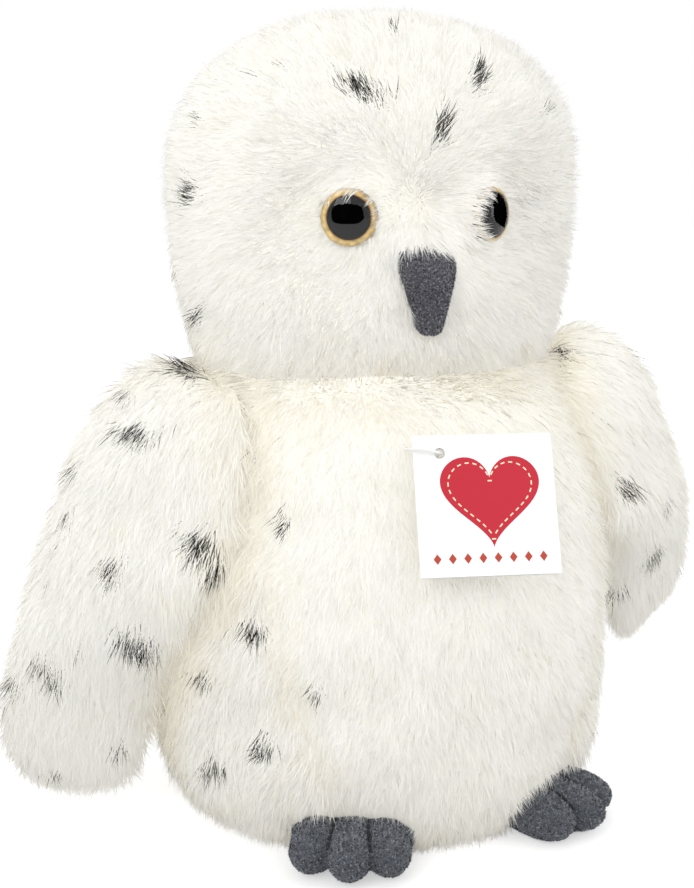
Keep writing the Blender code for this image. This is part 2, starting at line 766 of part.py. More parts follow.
# Hang tag: one card folded down its left edge, on a nylon pin through both leaves
tag_z = neck_height - tag_drop
tag_y = belly_y(tag_x, tag_z) - tag_stand_off
belly_rise = (belly_y(tag_x, tag_z + tag_height / 2) - belly_y(tag_x, tag_z - tag_height / 2))
tag_tilt_degrees = tag_lean_degrees + math.degrees(math.atan2(belly_rise, tag_height))
tag_axes = (Matrix.Rotation(math.radians(tag_yaw_degrees), 4, "Z")
            @ Matrix.Rotation(-math.radians(tag_tilt_degrees), 4, "X")
            @ Matrix.Rotation(math.radians(tag_roll_degrees), 4, "Y"))
tag_place = Matrix.Translation((tag_x, tag_y, tag_z)) @ tag_axes


def tag_section():
    # the fold seen from above: front leaf, crease, back leaf that springs away
    half = tag_width / 2
    inner = card_thickness + leaf_gap
    back_outer = inner + card_thickness
    front = [(half, 0), (-half + card_thickness, 0), (-half, card_thickness)]
    crease = [(-half, back_outer - card_thickness), (-half + card_thickness, back_outer)]
    back_face = [(half, back_outer + leaf_spring), (half, inner + leaf_spring)]
    inside = [(-half + card_thickness, inner), (-half + card_thickness, card_thickness)]
    return front + crease + back_face + inside + [(half, card_thickness)]


section = tag_section()
low_edge = [(x, y, -tag_height / 2) for x, y in section]
high_edge = [(x, y, tag_height / 2) for x, y in section]
card = outward_faces(lofted_mesh([low_edge, high_edge]))
hole_x = tag_hole_inset - tag_width / 2
hole_z = tag_height / 2 - tag_hole_drop
through = rod_mesh(tag_hole_diameter / 2, -overrun, overrun, 16)
through.transform(Matrix.Translation((hole_x, 0, hole_z)) @ Matrix.Rotation(math.pi / 2, 4, "X"))
card = cut(card, through)


def pin_route():
    # from the chest round the card's left edge, over its face and in through the hole
    edge = -tag_width / 2
    behind = 2 * card_thickness + leaf_gap + leaf_spring * tag_hole_inset / tag_width
    lift = pin_clearance + pin_diameter / 2
    bar = behind + lift
    chest = tag_place @ Vector((edge - lift, behind + lift, hole_z + lift * 3))
    chest.y = belly_y(chest.x, chest.z) - seat_gap
    anchor = tag_place.inverted() @ chest
    return [tuple(anchor), (edge - lift * 1.6, (anchor.y + behind) / 2, hole_z + lift * 2.4),
            (edge - lift * 1.6, behind / 2, hole_z + lift * 1.8),
            (edge - lift * 0.4, -lift * 1.3, hole_z + lift * 1.2),
            ((edge + hole_x) / 2, -lift * 1.7, hole_z + lift * 0.6),
            (hole_x - lift * 0.5, -lift * 1.1, hole_z),
            (hole_x, 0, hole_z), (hole_x, behind, hole_z), (hole_x, bar + lift, hole_z)]


def tube_mesh(route, radius, sides):
    # a round tube along a Catmull-Rom route, its section carried along without twist
    path = [Vector(p) for p in smooth_rows(route, 2)]
    across = Vector((0, 0, 1))
    rings = []
    for i, point in enumerate(path):
        ahead = (path[min(i + 1, len(path) - 1)] - path[max(i - 1, 0)]).normalized()
        across = (across - ahead * across.dot(ahead)).normalized()
        other = ahead.cross(across)
        rings.append([tuple(point + (across * math.cos(a) + other * math.sin(a)) * radius)
                      for a in (2 * math.pi * j / sides for j in range(sides))])
    return outward_faces(lofted_mesh(rings))


route = pin_route()
pin = tube_mesh(route, pin_diameter / 2, pin_sides)
bar_end = Vector(route[-1])
bar = rod_mesh(pin_diameter * 0.6, -pin_bar_length / 2, pin_bar_length / 2, pin_sides + 2)
bar.transform(Matrix.Translation(bar_end))
pin = boolean(pin, bar, "UNION")
pivot = tag_place @ Vector(route[0])
for name, mesh, material in (("hang_tag_card", card, tag_card),
                             ("hang_tag_pin", pin, pin_nylon)):
    mesh.transform(Matrix.Translation(-pivot) @ tag_place)
    piece = make_object(name, mesh, material)
    piece.location = pivot

for thing in bpy.data.objects:
    thing.data.shade_smooth()
    thing.data.set_sharp_from_angle(angle=math.radians(40))
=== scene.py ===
import math

import bmesh
import bpy
import numpy as np
from mathutils import Matrix, Vector
from mathutils.bvhtree import BVHTree


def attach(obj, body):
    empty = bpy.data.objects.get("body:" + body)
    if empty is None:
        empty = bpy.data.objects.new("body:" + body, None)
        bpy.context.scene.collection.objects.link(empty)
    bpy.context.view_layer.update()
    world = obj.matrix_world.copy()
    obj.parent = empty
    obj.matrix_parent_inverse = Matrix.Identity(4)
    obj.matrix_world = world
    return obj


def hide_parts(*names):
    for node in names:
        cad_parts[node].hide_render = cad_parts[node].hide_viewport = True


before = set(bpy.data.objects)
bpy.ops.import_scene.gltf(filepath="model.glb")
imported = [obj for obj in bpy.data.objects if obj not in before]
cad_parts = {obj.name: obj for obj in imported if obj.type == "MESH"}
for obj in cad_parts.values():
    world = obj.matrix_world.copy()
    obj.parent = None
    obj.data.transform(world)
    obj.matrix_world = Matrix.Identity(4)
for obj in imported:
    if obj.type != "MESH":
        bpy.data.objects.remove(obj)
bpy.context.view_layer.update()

rng = np.random.default_rng(27)

# The owl stands on z = 0 and faces -Y; its right side is -X. The camera's place is fitted to
# the photograph: the eyes, the tag, the feet and the outline all fall on their pixels.
cameraSettings = {
    "place": (-0.2161, -0.4561, 0.2243),
    "ahead": (0.401, 0.895, -0.197),
    "lens": 59.64,
    "imageSize": (694, 888),
    "focalPixels": 1471.0,
    "aim": (0, 0, 0.14),
}


def makeCamera(settings):
    camera = bpy.data.objects.new("camera", bpy.data.cameras.new("camera"))
    bpy.context.collection.objects.link(camera)
    camera.data.lens = settings["lens"]
    camera.location = settings["place"]
    camera.rotation_euler = Vector(settings["ahead"]).to_track_quat("-Z", "Y").to_euler()
    bpy.context.scene.camera = camera
    return camera


makeCamera(cameraSettings)
bpy.context.scene.view_settings.view_transform = "Standard"


# Materials


def linearColour(hexColour):
    values = [int(hexColour[i:i + 2], 16) / 255 for i in (0, 2, 4)]
    return tuple(((v + 0.055) / 1.055) ** 2.4 if v > 0.04045 else v / 12.92 for v in values) + (1,)


def addNode(tree, kind, links=(), **settings):
    # settings: node properties, and sockets by name where spaces are written as underscores;
    # links: (input socket, node, output socket)
    node = tree.nodes.new(kind)
    for key, value in settings.items():
        socket = key.replace("_", " ")
        if hasattr(node, key):
            setattr(node, key, value)
        else:
            node.inputs[socket].default_value = value
    for target, source, output in links:
        tree.links.new(source.outputs[output], node.inputs[target])
    return node


def startMaterial(name, hexColour, roughness, **sockets):
    material = bpy.data.materials.new(name)
    material.use_nodes = True
    tree = material.node_tree
    shader = tree.nodes["Principled BSDF"]
    shader.inputs["Base Color"].default_value = linearColour(hexColour)
    shader.inputs["Roughness"].default_value = roughness
    for key, value in sockets.items():
        shader.inputs[key.replace("_", " ")].default_value = value
    return material, tree, shader


def addTexture(tree, kind, scale, **settings):
    # a texture on the piece's own coordinates
    place = addNode(tree, "ShaderNodeTexCoord")
    return addNode(tree, kind, [("Vector", place, "Object")], Scale=scale, **settings)


def mixTones(tree, shader, share, firstTone, secondTone):
    tone = addNode(tree, "ShaderNodeMix", [("Factor", share, "Fac")], data_type="RGBA")
    tone.inputs[6].default_value = linearColour(firstTone)
    tone.inputs[7].default_value = linearColour(secondTone)
    tree.links.new(tone.outputs[2], shader.inputs["Base Color"])


def addBump(tree, shader, height, output, strength, distance):
    # distance is the height of the relief in metres
    bump = addNode(tree, "ShaderNodeBump", [("Height", height, output)],
                   Strength=strength, Distance=distance)
    tree.links.new(bump.outputs["Normal"], shader.inputs["Normal"])
    return bump


def grained(name, hexColour, roughness, scale, depth, **sockets):
    # one colour with the fine relief that its making leaves
    material, tree, shader = startMaterial(name, hexColour, roughness, **sockets)
    grain = addTexture(tree, "ShaderNodeTexNoise", scale, Detail=3.0)
    addBump(tree, shader, grain, "Fac", 0.3, depth)
    return material


plainFinishes = {
    # tone, roughness, scale of the grain and its depth
    "waxed black sewing thread": ("1c1c20", 0.6, 2500.0, 0.0001),
    "clear cast acrylic": ("ffffff", 0.02, 200.0, 0.000002),
    "moulded black polypropylene": ("0d0d0e", 0.25, 400.0, 0.00003),
    "moulded white washer plastic": ("e6e6e2", 0.5, 600.0, 0.00003),
    "coated white card": ("f4f4f3", 0.42, 1500.0, 0.00002),
    "moulded clear nylon": ("ececea", 0.35, 900.0, 0.00003),
    "crimson offset ink": ("c2162f", 0.4, 1500.0, 0.00002),
    "cream offset ink": ("f7e3c4", 0.4, 1500.0, 0.00002),
    "rust offset ink": ("b8402c", 0.4, 1500.0, 0.00002),
}


def plain(name, **sockets):
    return grained(name, *plainFinishes[name], **sockets)


pileTones = {
    # dyed acrylic pile, sheared and brushed; the fibre is soft and only faintly shiny. Ivory and
    # cream also stand for painted shade at the roots and in the creases
    "pile white": "fffdf7", "pile ivory": "fdfaf0", "pile cream": "f8f2e1",
    "pile grey": "77746e", "pile black": "1d1b1a",
}


def pileMaterial(name, hexColour):
    material, tree, shader = startMaterial(name, hexColour, 0.85, Specular_IOR_Level=0.10,
                                           Sheen_Weight=0.1, Sheen_Roughness=0.5)
    material.cycles.use_bump_map_correction = False
    # crimp of the fibre, drawn at 0.6 mm
    crimp = addTexture(tree, "ShaderNodeTexNoise", 1600.0)
    bump = addBump(tree, shader, crimp, "Fac", 0.15, 0.00005)
    # the outer face of a blade is lit as the fabric under it is, its inner face as it lies
    sight = addNode(tree, "ShaderNodeNewGeometry")
    steady = addNode(tree, "ShaderNodeMix", [("Factor", sight, "Backfacing")],
                     data_type="VECTOR")
    tree.links.new(sight.outputs["Normal"], steady.inputs[4])
    tree.links.new(sight.outputs["True Normal"], steady.inputs[5])
    tree.links.new(steady.outputs[1], bump.inputs["Normal"])
    return material


pileSlots = [pileMaterial(name, tone) for name, tone in pileTones.items()]
whiteSlot, ivorySlot, creamSlot, greySlot, blackSlot = range(5)


def backingMaterial():
    # knitted polyester backing: seen only between the roots of the pile, matt and warm
    material, tree, shader = startMaterial("knitted pile backing", "f8f5ea", 0.95)
    cloud = addTexture(tree, "ShaderNodeTexNoise", 60.0)
    mixTones(tree, shader, cloud, "faf8f0", "f4efe0")
    knit = addTexture(tree, "ShaderNodeTexVoronoi", 1000.0)
    addBump(tree, shader, knit, "Distance", 0.4, 0.0002)
    return material


fleeceTones = {"slate": ("5a5e66", "373a41"), "beak": ("66666f", "404048")}
napTones = {"slate": ("959aa4", "6a6e77", "3a3d45", "1a1c20"),
            "beak": ("a0a0a8", "727279", "45454c", "232327")}


def fleeceMaterial(name, lightTone, darkTone):
    # brushed polyester fleece: a matt, felted nap of fine loops in two close tones
    material, tree, shader = startMaterial(name, lightTone, 0.95, Sheen_Weight=0.3,
                                           Sheen_Roughness=0.6)
    nap = addTexture(tree, "ShaderNodeTexNoise", 900.0, Detail=4.0)
    mixTones(tree, shader, nap, darkTone, lightTone)
    addBump(tree, shader, nap, "Fac", 0.8, 0.0006)
    return material


def napMaterials(kind):
    # single raised fibres of the fleece, in four tones of the dye
    return [grained(kind + " nap " + tone, tone, 0.9, 1800.0, 0.00005, Sheen_Weight=0.2)
            for tone in napTones[kind]]


# Surfaces: share tables that follow the construction, as grids of points


sides = {"right": -1, "left": 1}
bodyForm = {
    "neckHeight": 0.155, "halfWidth": 0.082, "front": 0.080, "back": 0.064, "middleY": 0.002,
    "bellyHalfWidth": 0.060, "backHalfWidth": 0.050, "baseHalfWidth": 0.050,
    "baseHalfDepth": 0.045, "baseEdgeHeight": 0.0075,
    # share of the height, then of half width, front and back
    "shares": [
        (0.000, 0.77, 0.775, 0.78), (0.013, 0.825, 0.84, 0.84), (0.050, 0.895, 0.905, 0.91),
        (0.130, 0.955, 0.955, 0.96), (0.245, 0.985, 0.985, 0.99), (0.387, 0.995, 1.0, 1.0),
        (0.516, 0.995, 0.99, 1.0), (0.645, 0.97, 0.94, 0.98), (0.774, 0.925, 0.86, 0.93),
        (0.890, 0.86, 0.745, 0.87), (0.968, 0.805, 0.64, 0.82), (1.000, 0.785, 0.595, 0.80)],
    "bellyShares": [(0.00, 0.52), (0.12, 0.66), (0.25, 0.79), (0.40, 0.93), (0.55, 1.00),
                    (0.72, 0.97), (0.88, 0.92), (1.00, 0.90)],
    "backShares": [(0.00, 0.66), (0.15, 0.84), (0.35, 0.97), (0.55, 1.00), (0.75, 0.94),
                   (1.00, 0.86)],
    "grooveWidth": 0.0050, "grooveDepth": 0.0016, "lump": 0.0007, "footLift": 0.0020,
    "footRings": (0.12, 0.96, 9), "onFloor": 0.0001,
    # wavelength, waves and seed of the filling's lumps
    "lumps": (0.035, 14, 3),
}
headForm = {
    "height": 0.115, "halfWidth": 0.072, "front": 0.0448, "back": 0.058, "middleY": 0.0,
    "seamY": 0.010, "socketDepth": 0.0095, "socketX": 0.0300, "socketRadius": 0.021,
    "shares": [
        (0.000, 0.860, 0.98, 0.93), (0.060, 0.900, 1.00, 0.95), (0.200, 0.948, 0.985, 0.985),
        (0.290, 0.975, 0.965, 1.00), (0.370, 0.990, 0.965, 1.00), (0.443, 1.000, 0.97, 1.00),
        (0.515, 0.998, 0.985, 0.995), (0.595, 0.985, 1.00, 0.98), (0.690, 0.950, 1.00, 0.95),
        (0.790, 0.865, 0.92, 0.86), (0.890, 0.700, 0.76, 0.70), (0.957, 0.490, 0.54, 0.50),
        (0.990, 0.250, 0.28, 0.26)],
    "lump": 0.0006, "lumps": (0.03, 14, 8), "neckOverlap": 0.002, "neckFoot": 0.001,
    "crownRings": 8, "crownReach": (0.88, 0.06),
}
eyeForm = {
    "faceX": -0.0012, "x": 0.0243, "y": -0.0328, "height": 0.2033, "turnDegrees": 31.0,
    "radius": 0.0090, "domeHeight": 0.0052, "plateThickness": 0.0012,
    "pupilShare": 0.71, "behind": -0.03, "pressReach": 0.008, "pressEase": 0.007,
    "pressBehind": -0.02, "pressGap": 0.0006, "seatGap": 0.0001, "rimWidth": 0.0003,
    "rimHeight": 0.0002, "domeSteps": 24, "domeEndDegrees": 88, "domeFootShare": 0.14,
    "foilInset": 0.0002, "foilHeights": (0.0001, 0.0003), "hole": 0.0002,
    # radius and height along the shank, from its tip to the plate
    "shank": [(0.0004, -0.0120), (0.0014, -0.0120), (0.0023, -0.0110), (0.0023, 0)],
    "sharpDegrees": 35,
}
beakForm = {
    "top": 0.1955, "tip": 0.1665, "halfWidth": 0.0094, "halfDepth": 0.0085, "x": -0.0030,
    "middleY": -0.0405,
    # share of the height, half width, half depth, bulge forward
    "shares": [
        (0.00, 0.15, 0.16, 0.45), (0.02, 0.29, 0.32, 0.45), (0.05, 0.38, 0.44, 0.44),
        (0.10, 0.44, 0.57, 0.42), (0.25, 0.56, 0.74, 0.38),
        (0.45, 0.74, 0.90, 0.32), (0.65, 0.94, 0.90, 0.24), (0.80, 1.00, 0.66, 0.14),
        (0.91, 0.86, 0.34, -0.02), (0.965, 0.55, 0.16, -0.14)],
}
footForm = {
    "x": 0.0325, "y": -0.0520, "splayDegrees": 29.0, "toeSpreadDegrees": 15.0,
    "halfWidth": 0.0083, "halfHeight": 0.0082, "halfLength": 0.0175, "reach": 0.0290,
    "sideReach": 0.0245, "spacing": 0.0143, "flatCut": 0.0005, "floor": 0.0002,
    "heelShare": 0.7, "heelAhead": 0.15, "roundness": 0.85, "pole": 0.06,
}
wingForm = {
    "halfThickness": 0.0080, "leastHalfWidth": 0.001, "leastHalfDepth": 0.0008,
    "hang": {"right": (0.0, 0.0, 0.0), "left": (4.0, 12.5, 12.0)},
    # from shoulder to tip: inner edge, outer edge, as shares of the body's half width, front
    # and height, then the share of the wing's half thickness
    "shares": [
        (0.725, -0.290, 0.958, 0.830, 0.075, 0.990, 0.35),
        (0.715, -0.340, 0.935, 1.000, 0.065, 0.990, 0.65),
        (0.720, -0.390, 0.890, 1.140, 0.065, 0.940, 0.90),
        (0.750, -0.445, 0.813, 1.270, 0.070, 0.845, 1.00),
        (0.793, -0.465, 0.722, 1.350, 0.090, 0.735, 1.00),
        (0.860, -0.470, 0.626, 1.420, 0.110, 0.632, 1.00),
        (0.940, -0.320, 0.495, 1.505, 0.115, 0.490, 1.00),
        (0.985, -0.155, 0.374, 1.555, 0.175, 0.374, 1.00),
        (1.025, -0.075, 0.270, 1.580, 0.238, 0.270, 0.95),
        (1.062, -0.025, 0.180, 1.573, 0.275, 0.180, 0.85),
        (1.120, 0.025, 0.116, 1.520, 0.275, 0.116, 0.65),
        (1.220, 0.088, 0.077, 1.427, 0.250, 0.077, 0.35)],
}


def smoothRows(table, steps):
    # Catmull-Rom through the rows: each row between four neighbours, a cubic in t
    rows = np.array(table, float)
    padded = np.vstack([2 * rows[0] - rows[1], rows, 2 * rows[-1] - rows[-2]])
    t = (np.arange(steps) / steps)[:, None]
    parts = []
    for a, b, c, d in zip(padded, padded[1:], padded[2:], padded[3:]):
        parts.append(b + (c - a) * t / 2 + (a - 2.5 * b + 2 * c - d / 2) * t ** 2
                     + (1.5 * (b - c) + (d - a) / 2) * t ** 3)
    return np.vstack(parts + [rows[-1:]])


def ovalGrid(halfWidth, front, back, middleY, height, columns):
    # x = w cos a, y = m + d sin a, where d is the front or the back depth; rows are heights
    angle = 2 * np.pi * (np.arange(columns) + 0.5) / columns
    sine = np.sin(angle)
    depth = np.where(sine > 0, np.asarray(back)[:, None], np.asarray(front)[:, None])
    x = np.asarray(halfWidth)[:, None] * np.cos(angle)
    y = middleY + depth * sine
    z = np.repeat(np.asarray(height)[:, None], columns, axis=1)
    return np.stack([x, y, z], axis=2)


def gridNormals(grid):
    along = np.roll(grid, -1, axis=1) - np.roll(grid, 1, axis=1)
    up = np.gradient(grid, axis=0)
    normals = np.cross(along, up)
    return normals / np.maximum(np.linalg.norm(normals, axis=2, keepdims=True), 1e-12)


# how the wavelengths spread, and the share that brings most of the noise within 1
waveForm = {"spread": (0.7, 1.5), "level": 0.6}


def waveNoise(points, wavelength, count, seed):
    # a sum of sine waves in random directions: smooth noise between about -1 and 1
    local = np.random.default_rng(seed)
    ways = local.normal(size=(count, 3))
    ways /= np.linalg.norm(ways, axis=1, keepdims=True)
    ways *= 2 * np.pi / (wavelength * local.uniform(*waveForm["spread"], (count, 1)))
    phase = local.uniform(0, 2 * np.pi, count)
    flat = points.reshape(-1, 3)
    total = np.zeros(len(flat))
    for way, shift in zip(ways, phase):
        total += np.sin(flat @ way + shift)
    return (total * math.sqrt(2 / count) * waveForm["level"]).reshape(points.shape[:-1])


def waveDrift(points, wavelength, count, seed):
    # three independent noises as a vector field
    return np.stack([waveNoise(points, wavelength, count, seed + k) for k in range(3)], axis=-1)


def fade(distance, reach, share=1.0):
    # share e^(-(distance / reach)^2)
    return np.exp(-(distance / reach) ** 2) * share


def panelHalfWidth(panel, z):
    table = smoothRows(bodyForm[panel + "Shares"], 4)
    return np.interp(z, table[:, 0] * bodyForm["neckHeight"],
                     table[:, 1] * bodyForm[panel + "HalfWidth"])


def seamDistance(points):
    # how far a point of the body lies from the belly's or the back's side seam
    front = points[..., 1] < bodyForm["middleY"]
    width = np.where(front, panelHalfWidth("belly", points[..., 2]),
                     panelHalfWidth("back", points[..., 2]))
    return np.abs(np.abs(points[..., 0]) - width)


def bodyGrid(inset, rowSteps=6, columns=144):
    # the rings up the body follow those of its flat foot, which run out from the middle
    table = smoothRows(bodyForm["shares"], rowSteps)
    table[:, 0] = np.clip(table[:, 0], 0, 1)
    foot = table[:1] * np.array([0, 1, 1, 1]) * np.linspace(*bodyForm["footRings"])[:, None]
    table = np.vstack([foot, table])
    grid = ovalGrid(table[:, 1] * bodyForm["halfWidth"], table[:, 2] * bodyForm["front"],
                    table[:, 3] * bodyForm["back"], bodyForm["middleY"],
                    table[:, 0] * bodyForm["neckHeight"], columns)
    normals = gridNormals(grid)
    # a soft valley along each side seam, and the slight lumps of the filling
    valley = bodyForm["grooveDepth"] * fade(seamDistance(grid), bodyForm["grooveWidth"])
    lumps = bodyForm["lump"] * waveNoise(grid, *bodyForm["lumps"])
    normals[:len(foot)] = (0, 0, -1)
    lift = np.where(grid[..., 2] < bodyForm["onFloor"],
                    np.minimum(inset, bodyForm["footLift"]), inset + valley - lumps)
    grid = grid - normals * lift[..., None]
    grid[..., 2] = np.maximum(grid[..., 2], min(inset, bodyForm["footLift"]))
    return grid


def headGrid(inset, rowSteps=6, columns=144):
    table = smoothRows(headForm["shares"], rowSteps)
    neck = bodyForm["neckHeight"]
    grid = ovalGrid(table[:, 1] * headForm["halfWidth"], table[:, 2] * headForm["front"],
                    table[:, 3] * headForm["back"], headForm["middleY"],
                    neck + table[:, 0] * headForm["height"], columns)
    # each eye sits in a soft hollow: depth e^(-(r / R)^2)
    for side in sides.values():
        middleX = eyeForm["faceX"] + side * headForm["socketX"]
        reach = (grid[..., 0] - middleX) ** 2 + (grid[..., 2] - eyeForm["height"]) ** 2
        hollow = headForm["socketDepth"] * np.exp(-reach / headForm["socketRadius"] ** 2)
        grid[..., 1] += np.where(grid[..., 1] < headForm["middleY"], hollow, 0)
    normals = gridNormals(grid)
    lumps = headForm["lump"] * waveNoise(grid, *headForm["lumps"])
    grid = grid - normals * (inset - lumps)[..., None]
    grid[..., 2] = np.maximum(grid[..., 2], neck - headForm["neckOverlap"])
    return grid


def eyeMatrix(side):
    turn = math.radians(eyeForm["turnDegrees"])
    axis = Vector((side * math.sin(turn), -math.cos(turn), 0))
    spin = axis.to_track_quat("Z", "Y").to_matrix().to_4x4()
    middle = (eyeForm["faceX"] + side * eyeForm["x"], eyeForm["y"], eyeForm["height"])
    return Matrix.Translation(middle) @ spin


def localTo(matrix, points):
    inverse = np.array(matrix.inverted())
    return points @ inverse[:3, :3].T + inverse[:3, 3]


def worldFrom(matrix, points):
    forward = np.array(matrix)
    return points @ forward[:3, :3].T + forward[:3, 3]


def pressUnderEyes(grid, margin):
    # the face lies flat against each eye's plate and eases back to its form around it
    for side in sides.values():
        local = localTo(eyeMatrix(side), grid)
        reach = np.hypot(local[..., 0], local[..., 1])
        ease = np.clip((eyeForm["radius"] + eyeForm["pressReach"] - reach)
                       / eyeForm["pressEase"], 0, 1)
        ease = ease * ease * (3 - 2 * ease) * (local[..., 2] > eyeForm["pressBehind"])
        local[..., 2] += (-margin - local[..., 2]) * ease
        grid = worldFrom(eyeMatrix(side), local)
    return grid


def wingGrid(side, inset, rowSteps=5, columns=72):
    # section: w cos a across and t sin a outward about the middle of each ring; the wing
    # hangs from its shoulder, turned, swept and spread by its own angles
    size = np.array([-bodyForm["halfWidth"], bodyForm["front"], bodyForm["neckHeight"]])
    table = smoothRows(wingForm["shares"], rowSteps)
    inner = table[:, :3] * size
    outer = table[:, 3:6] * size
    thick = table[:, 6] * wingForm["halfThickness"]
    pivot = (inner[0] + outer[0]) / 2
    turn, sweep, spread = wingForm["hang"][side]
    spin = np.array(Matrix.Rotation(math.radians(turn), 3, "Z")
                    @ Matrix.Rotation(math.radians(sweep), 3, "X")
                    @ Matrix.Rotation(math.radians(spread), 3, "Y"))
    inner = pivot + (inner - pivot) @ spin.T
    outer = pivot + (outer - pivot) @ spin.T
    middle = (inner + outer) / 2
    ahead = np.gradient(middle, axis=0)
    halfWidth = np.linalg.norm(outer - inner, axis=1) / 2
    across = (outer - inner) / (2 * halfWidth[:, None])
    outward = np.cross(across, ahead)
    outward /= np.linalg.norm(outward, axis=1, keepdims=True)
    angle = 2 * np.pi * np.arange(columns) / columns
    wide = np.maximum(halfWidth - inset, wingForm["leastHalfWidth"])[:, None, None]
    deep = np.maximum(thick - inset, wingForm["leastHalfDepth"])[:, None, None]
    grid = (middle[:, None] + across[:, None] * wide * np.cos(angle)[None, :, None]
            + outward[:, None] * deep * np.sin(angle)[None, :, None])
    if side == "left":
        grid = grid[:, ::-1] * np.array([-1, 1, 1])
    # rings run so that the normals point out
    normals = gridNormals(grid)
    if np.sum(normals * (grid - grid.mean(axis=1, keepdims=True))) < 0:
        grid = grid[:, ::-1]
    return grid


# Meshes


def gridArrays(grid):
    # a stack of rings in quads, closed at both ends by fans of triangles
    rows, columns = grid.shape[:2]
    index = np.arange(rows * columns).reshape(rows, columns)
    right = np.roll(index, -1, axis=1)
    quads = np.stack([index[:-1], right[:-1], right[1:], index[1:]], axis=-1).reshape(-1, 4)
    points = np.vstack([grid.reshape(-1, 3), grid[0].mean(axis=0), grid[-1].mean(axis=0)])
    low = np.stack([np.full(columns, rows * columns), right[0], index[0]], axis=-1)
    high = np.stack([index[-1], right[-1], np.full(columns, rows * columns + 1)], axis=-1)
    return points, quads, np.vstack([low, high])


def linkObject(name, mesh, materials):
    for material in materials:
        mesh.materials.append(material)
    piece = bpy.data.objects.new(name, mesh)
    bpy.context.collection.objects.link(piece)
    return piece


def meshFromArrays(name, points, faces, faceSlots=None, smooth=True):
    # faces: a list of integer arrays, one for each count of corners
    mesh = bpy.data.meshes.new(name)
    corners = np.concatenate([f.reshape(-1) for f in faces])
    counts = np.concatenate([np.full(len(f), f.shape[1]) for f in faces])
    starts = np.concatenate([[0], np.cumsum(counts)[:-1]])
    mesh.vertices.add(len(points))
    mesh.vertices.foreach_set("co", np.ascontiguousarray(points, np.float32).reshape(-1))
    mesh.loops.add(len(corners))
    mesh.loops.foreach_set("vertex_index", corners.astype(np.int32))
    mesh.polygons.add(len(counts))
    mesh.polygons.foreach_set("loop_start", starts.astype(np.int32))
    if faceSlots is not None:
        mesh.polygons.foreach_set("material_index", faceSlots.astype(np.int32))
    mesh.polygons.foreach_set("use_smooth", np.full(len(counts), smooth))
    mesh.update(calc_edges=True)
    mesh.validate()
    return mesh


def closedGrid(name, grid, materials, lastPole=None):
    points, quads, fans = gridArrays(grid)
    if lastPole is not None:
        points[-1] = lastPole
    return linkObject(name, meshFromArrays(name, points, [quads, fans]), materials)


def joinArrays(parts):
    # several sets of points and faces as one: each set's faces count on from the last
    pointSets, faceSets, base = [], [], 0
    for points, *faces in parts:
        pointSets.append(points)
        faceSets.append([f + base for f in faces])
        base += len(points)
    return np.vstack(pointSets), [np.vstack(f) for f in zip(*faceSets)]


# Pile: tapered blades that grow from the backing


def scatterOn(grid, count, weight=None):
    # points spread evenly over the area of a ring grid, with normals and grid places
    normals = gridNormals(grid)
    a, b = grid[:-1], np.roll(grid, -1, axis=1)[:-1]
    c, d = np.roll(grid, -1, axis=1)[1:], grid[1:]
    area = np.linalg.norm(np.cross(c - a, d - b), axis=2) / 2
    centre = (a + b + c + d) / 4
    if weight is not None:
        area = area * weight(centre)
    chance = (area / area.sum()).reshape(-1)
    chosen = rng.choice(len(chance), size=count, p=chance)
    row, column = np.divmod(chosen, grid.shape[1])
    beside = (column + 1) % grid.shape[1]
    u = rng.random(count)[:, None]
    v = rng.random(count)[:, None]

    def blend(values):
        low = values[row, column] * (1 - u) + values[row, beside] * u
        high = values[row + 1, column] * (1 - u) + values[row + 1, beside] * u
        return low * (1 - v) + high * v

    spots = blend(grid)
    ways = blend(normals)
    ways /= np.linalg.norm(ways, axis=1, keepdims=True)
    return spots, ways, row + v[:, 0]


def unit(vectors):
    return vectors / np.maximum(np.linalg.norm(vectors, axis=-1, keepdims=True), 1e-9)


bladeForm = {"knee": 0.55, "end": 0.45, "kneeWidth": 0.8, "kneeDrift": 0.35, "endDrift": 0.65,
             "lengths": (0.4, 1.5), "widths": (0.7, 1.3), "waves": 12, "floor": 0.0002}


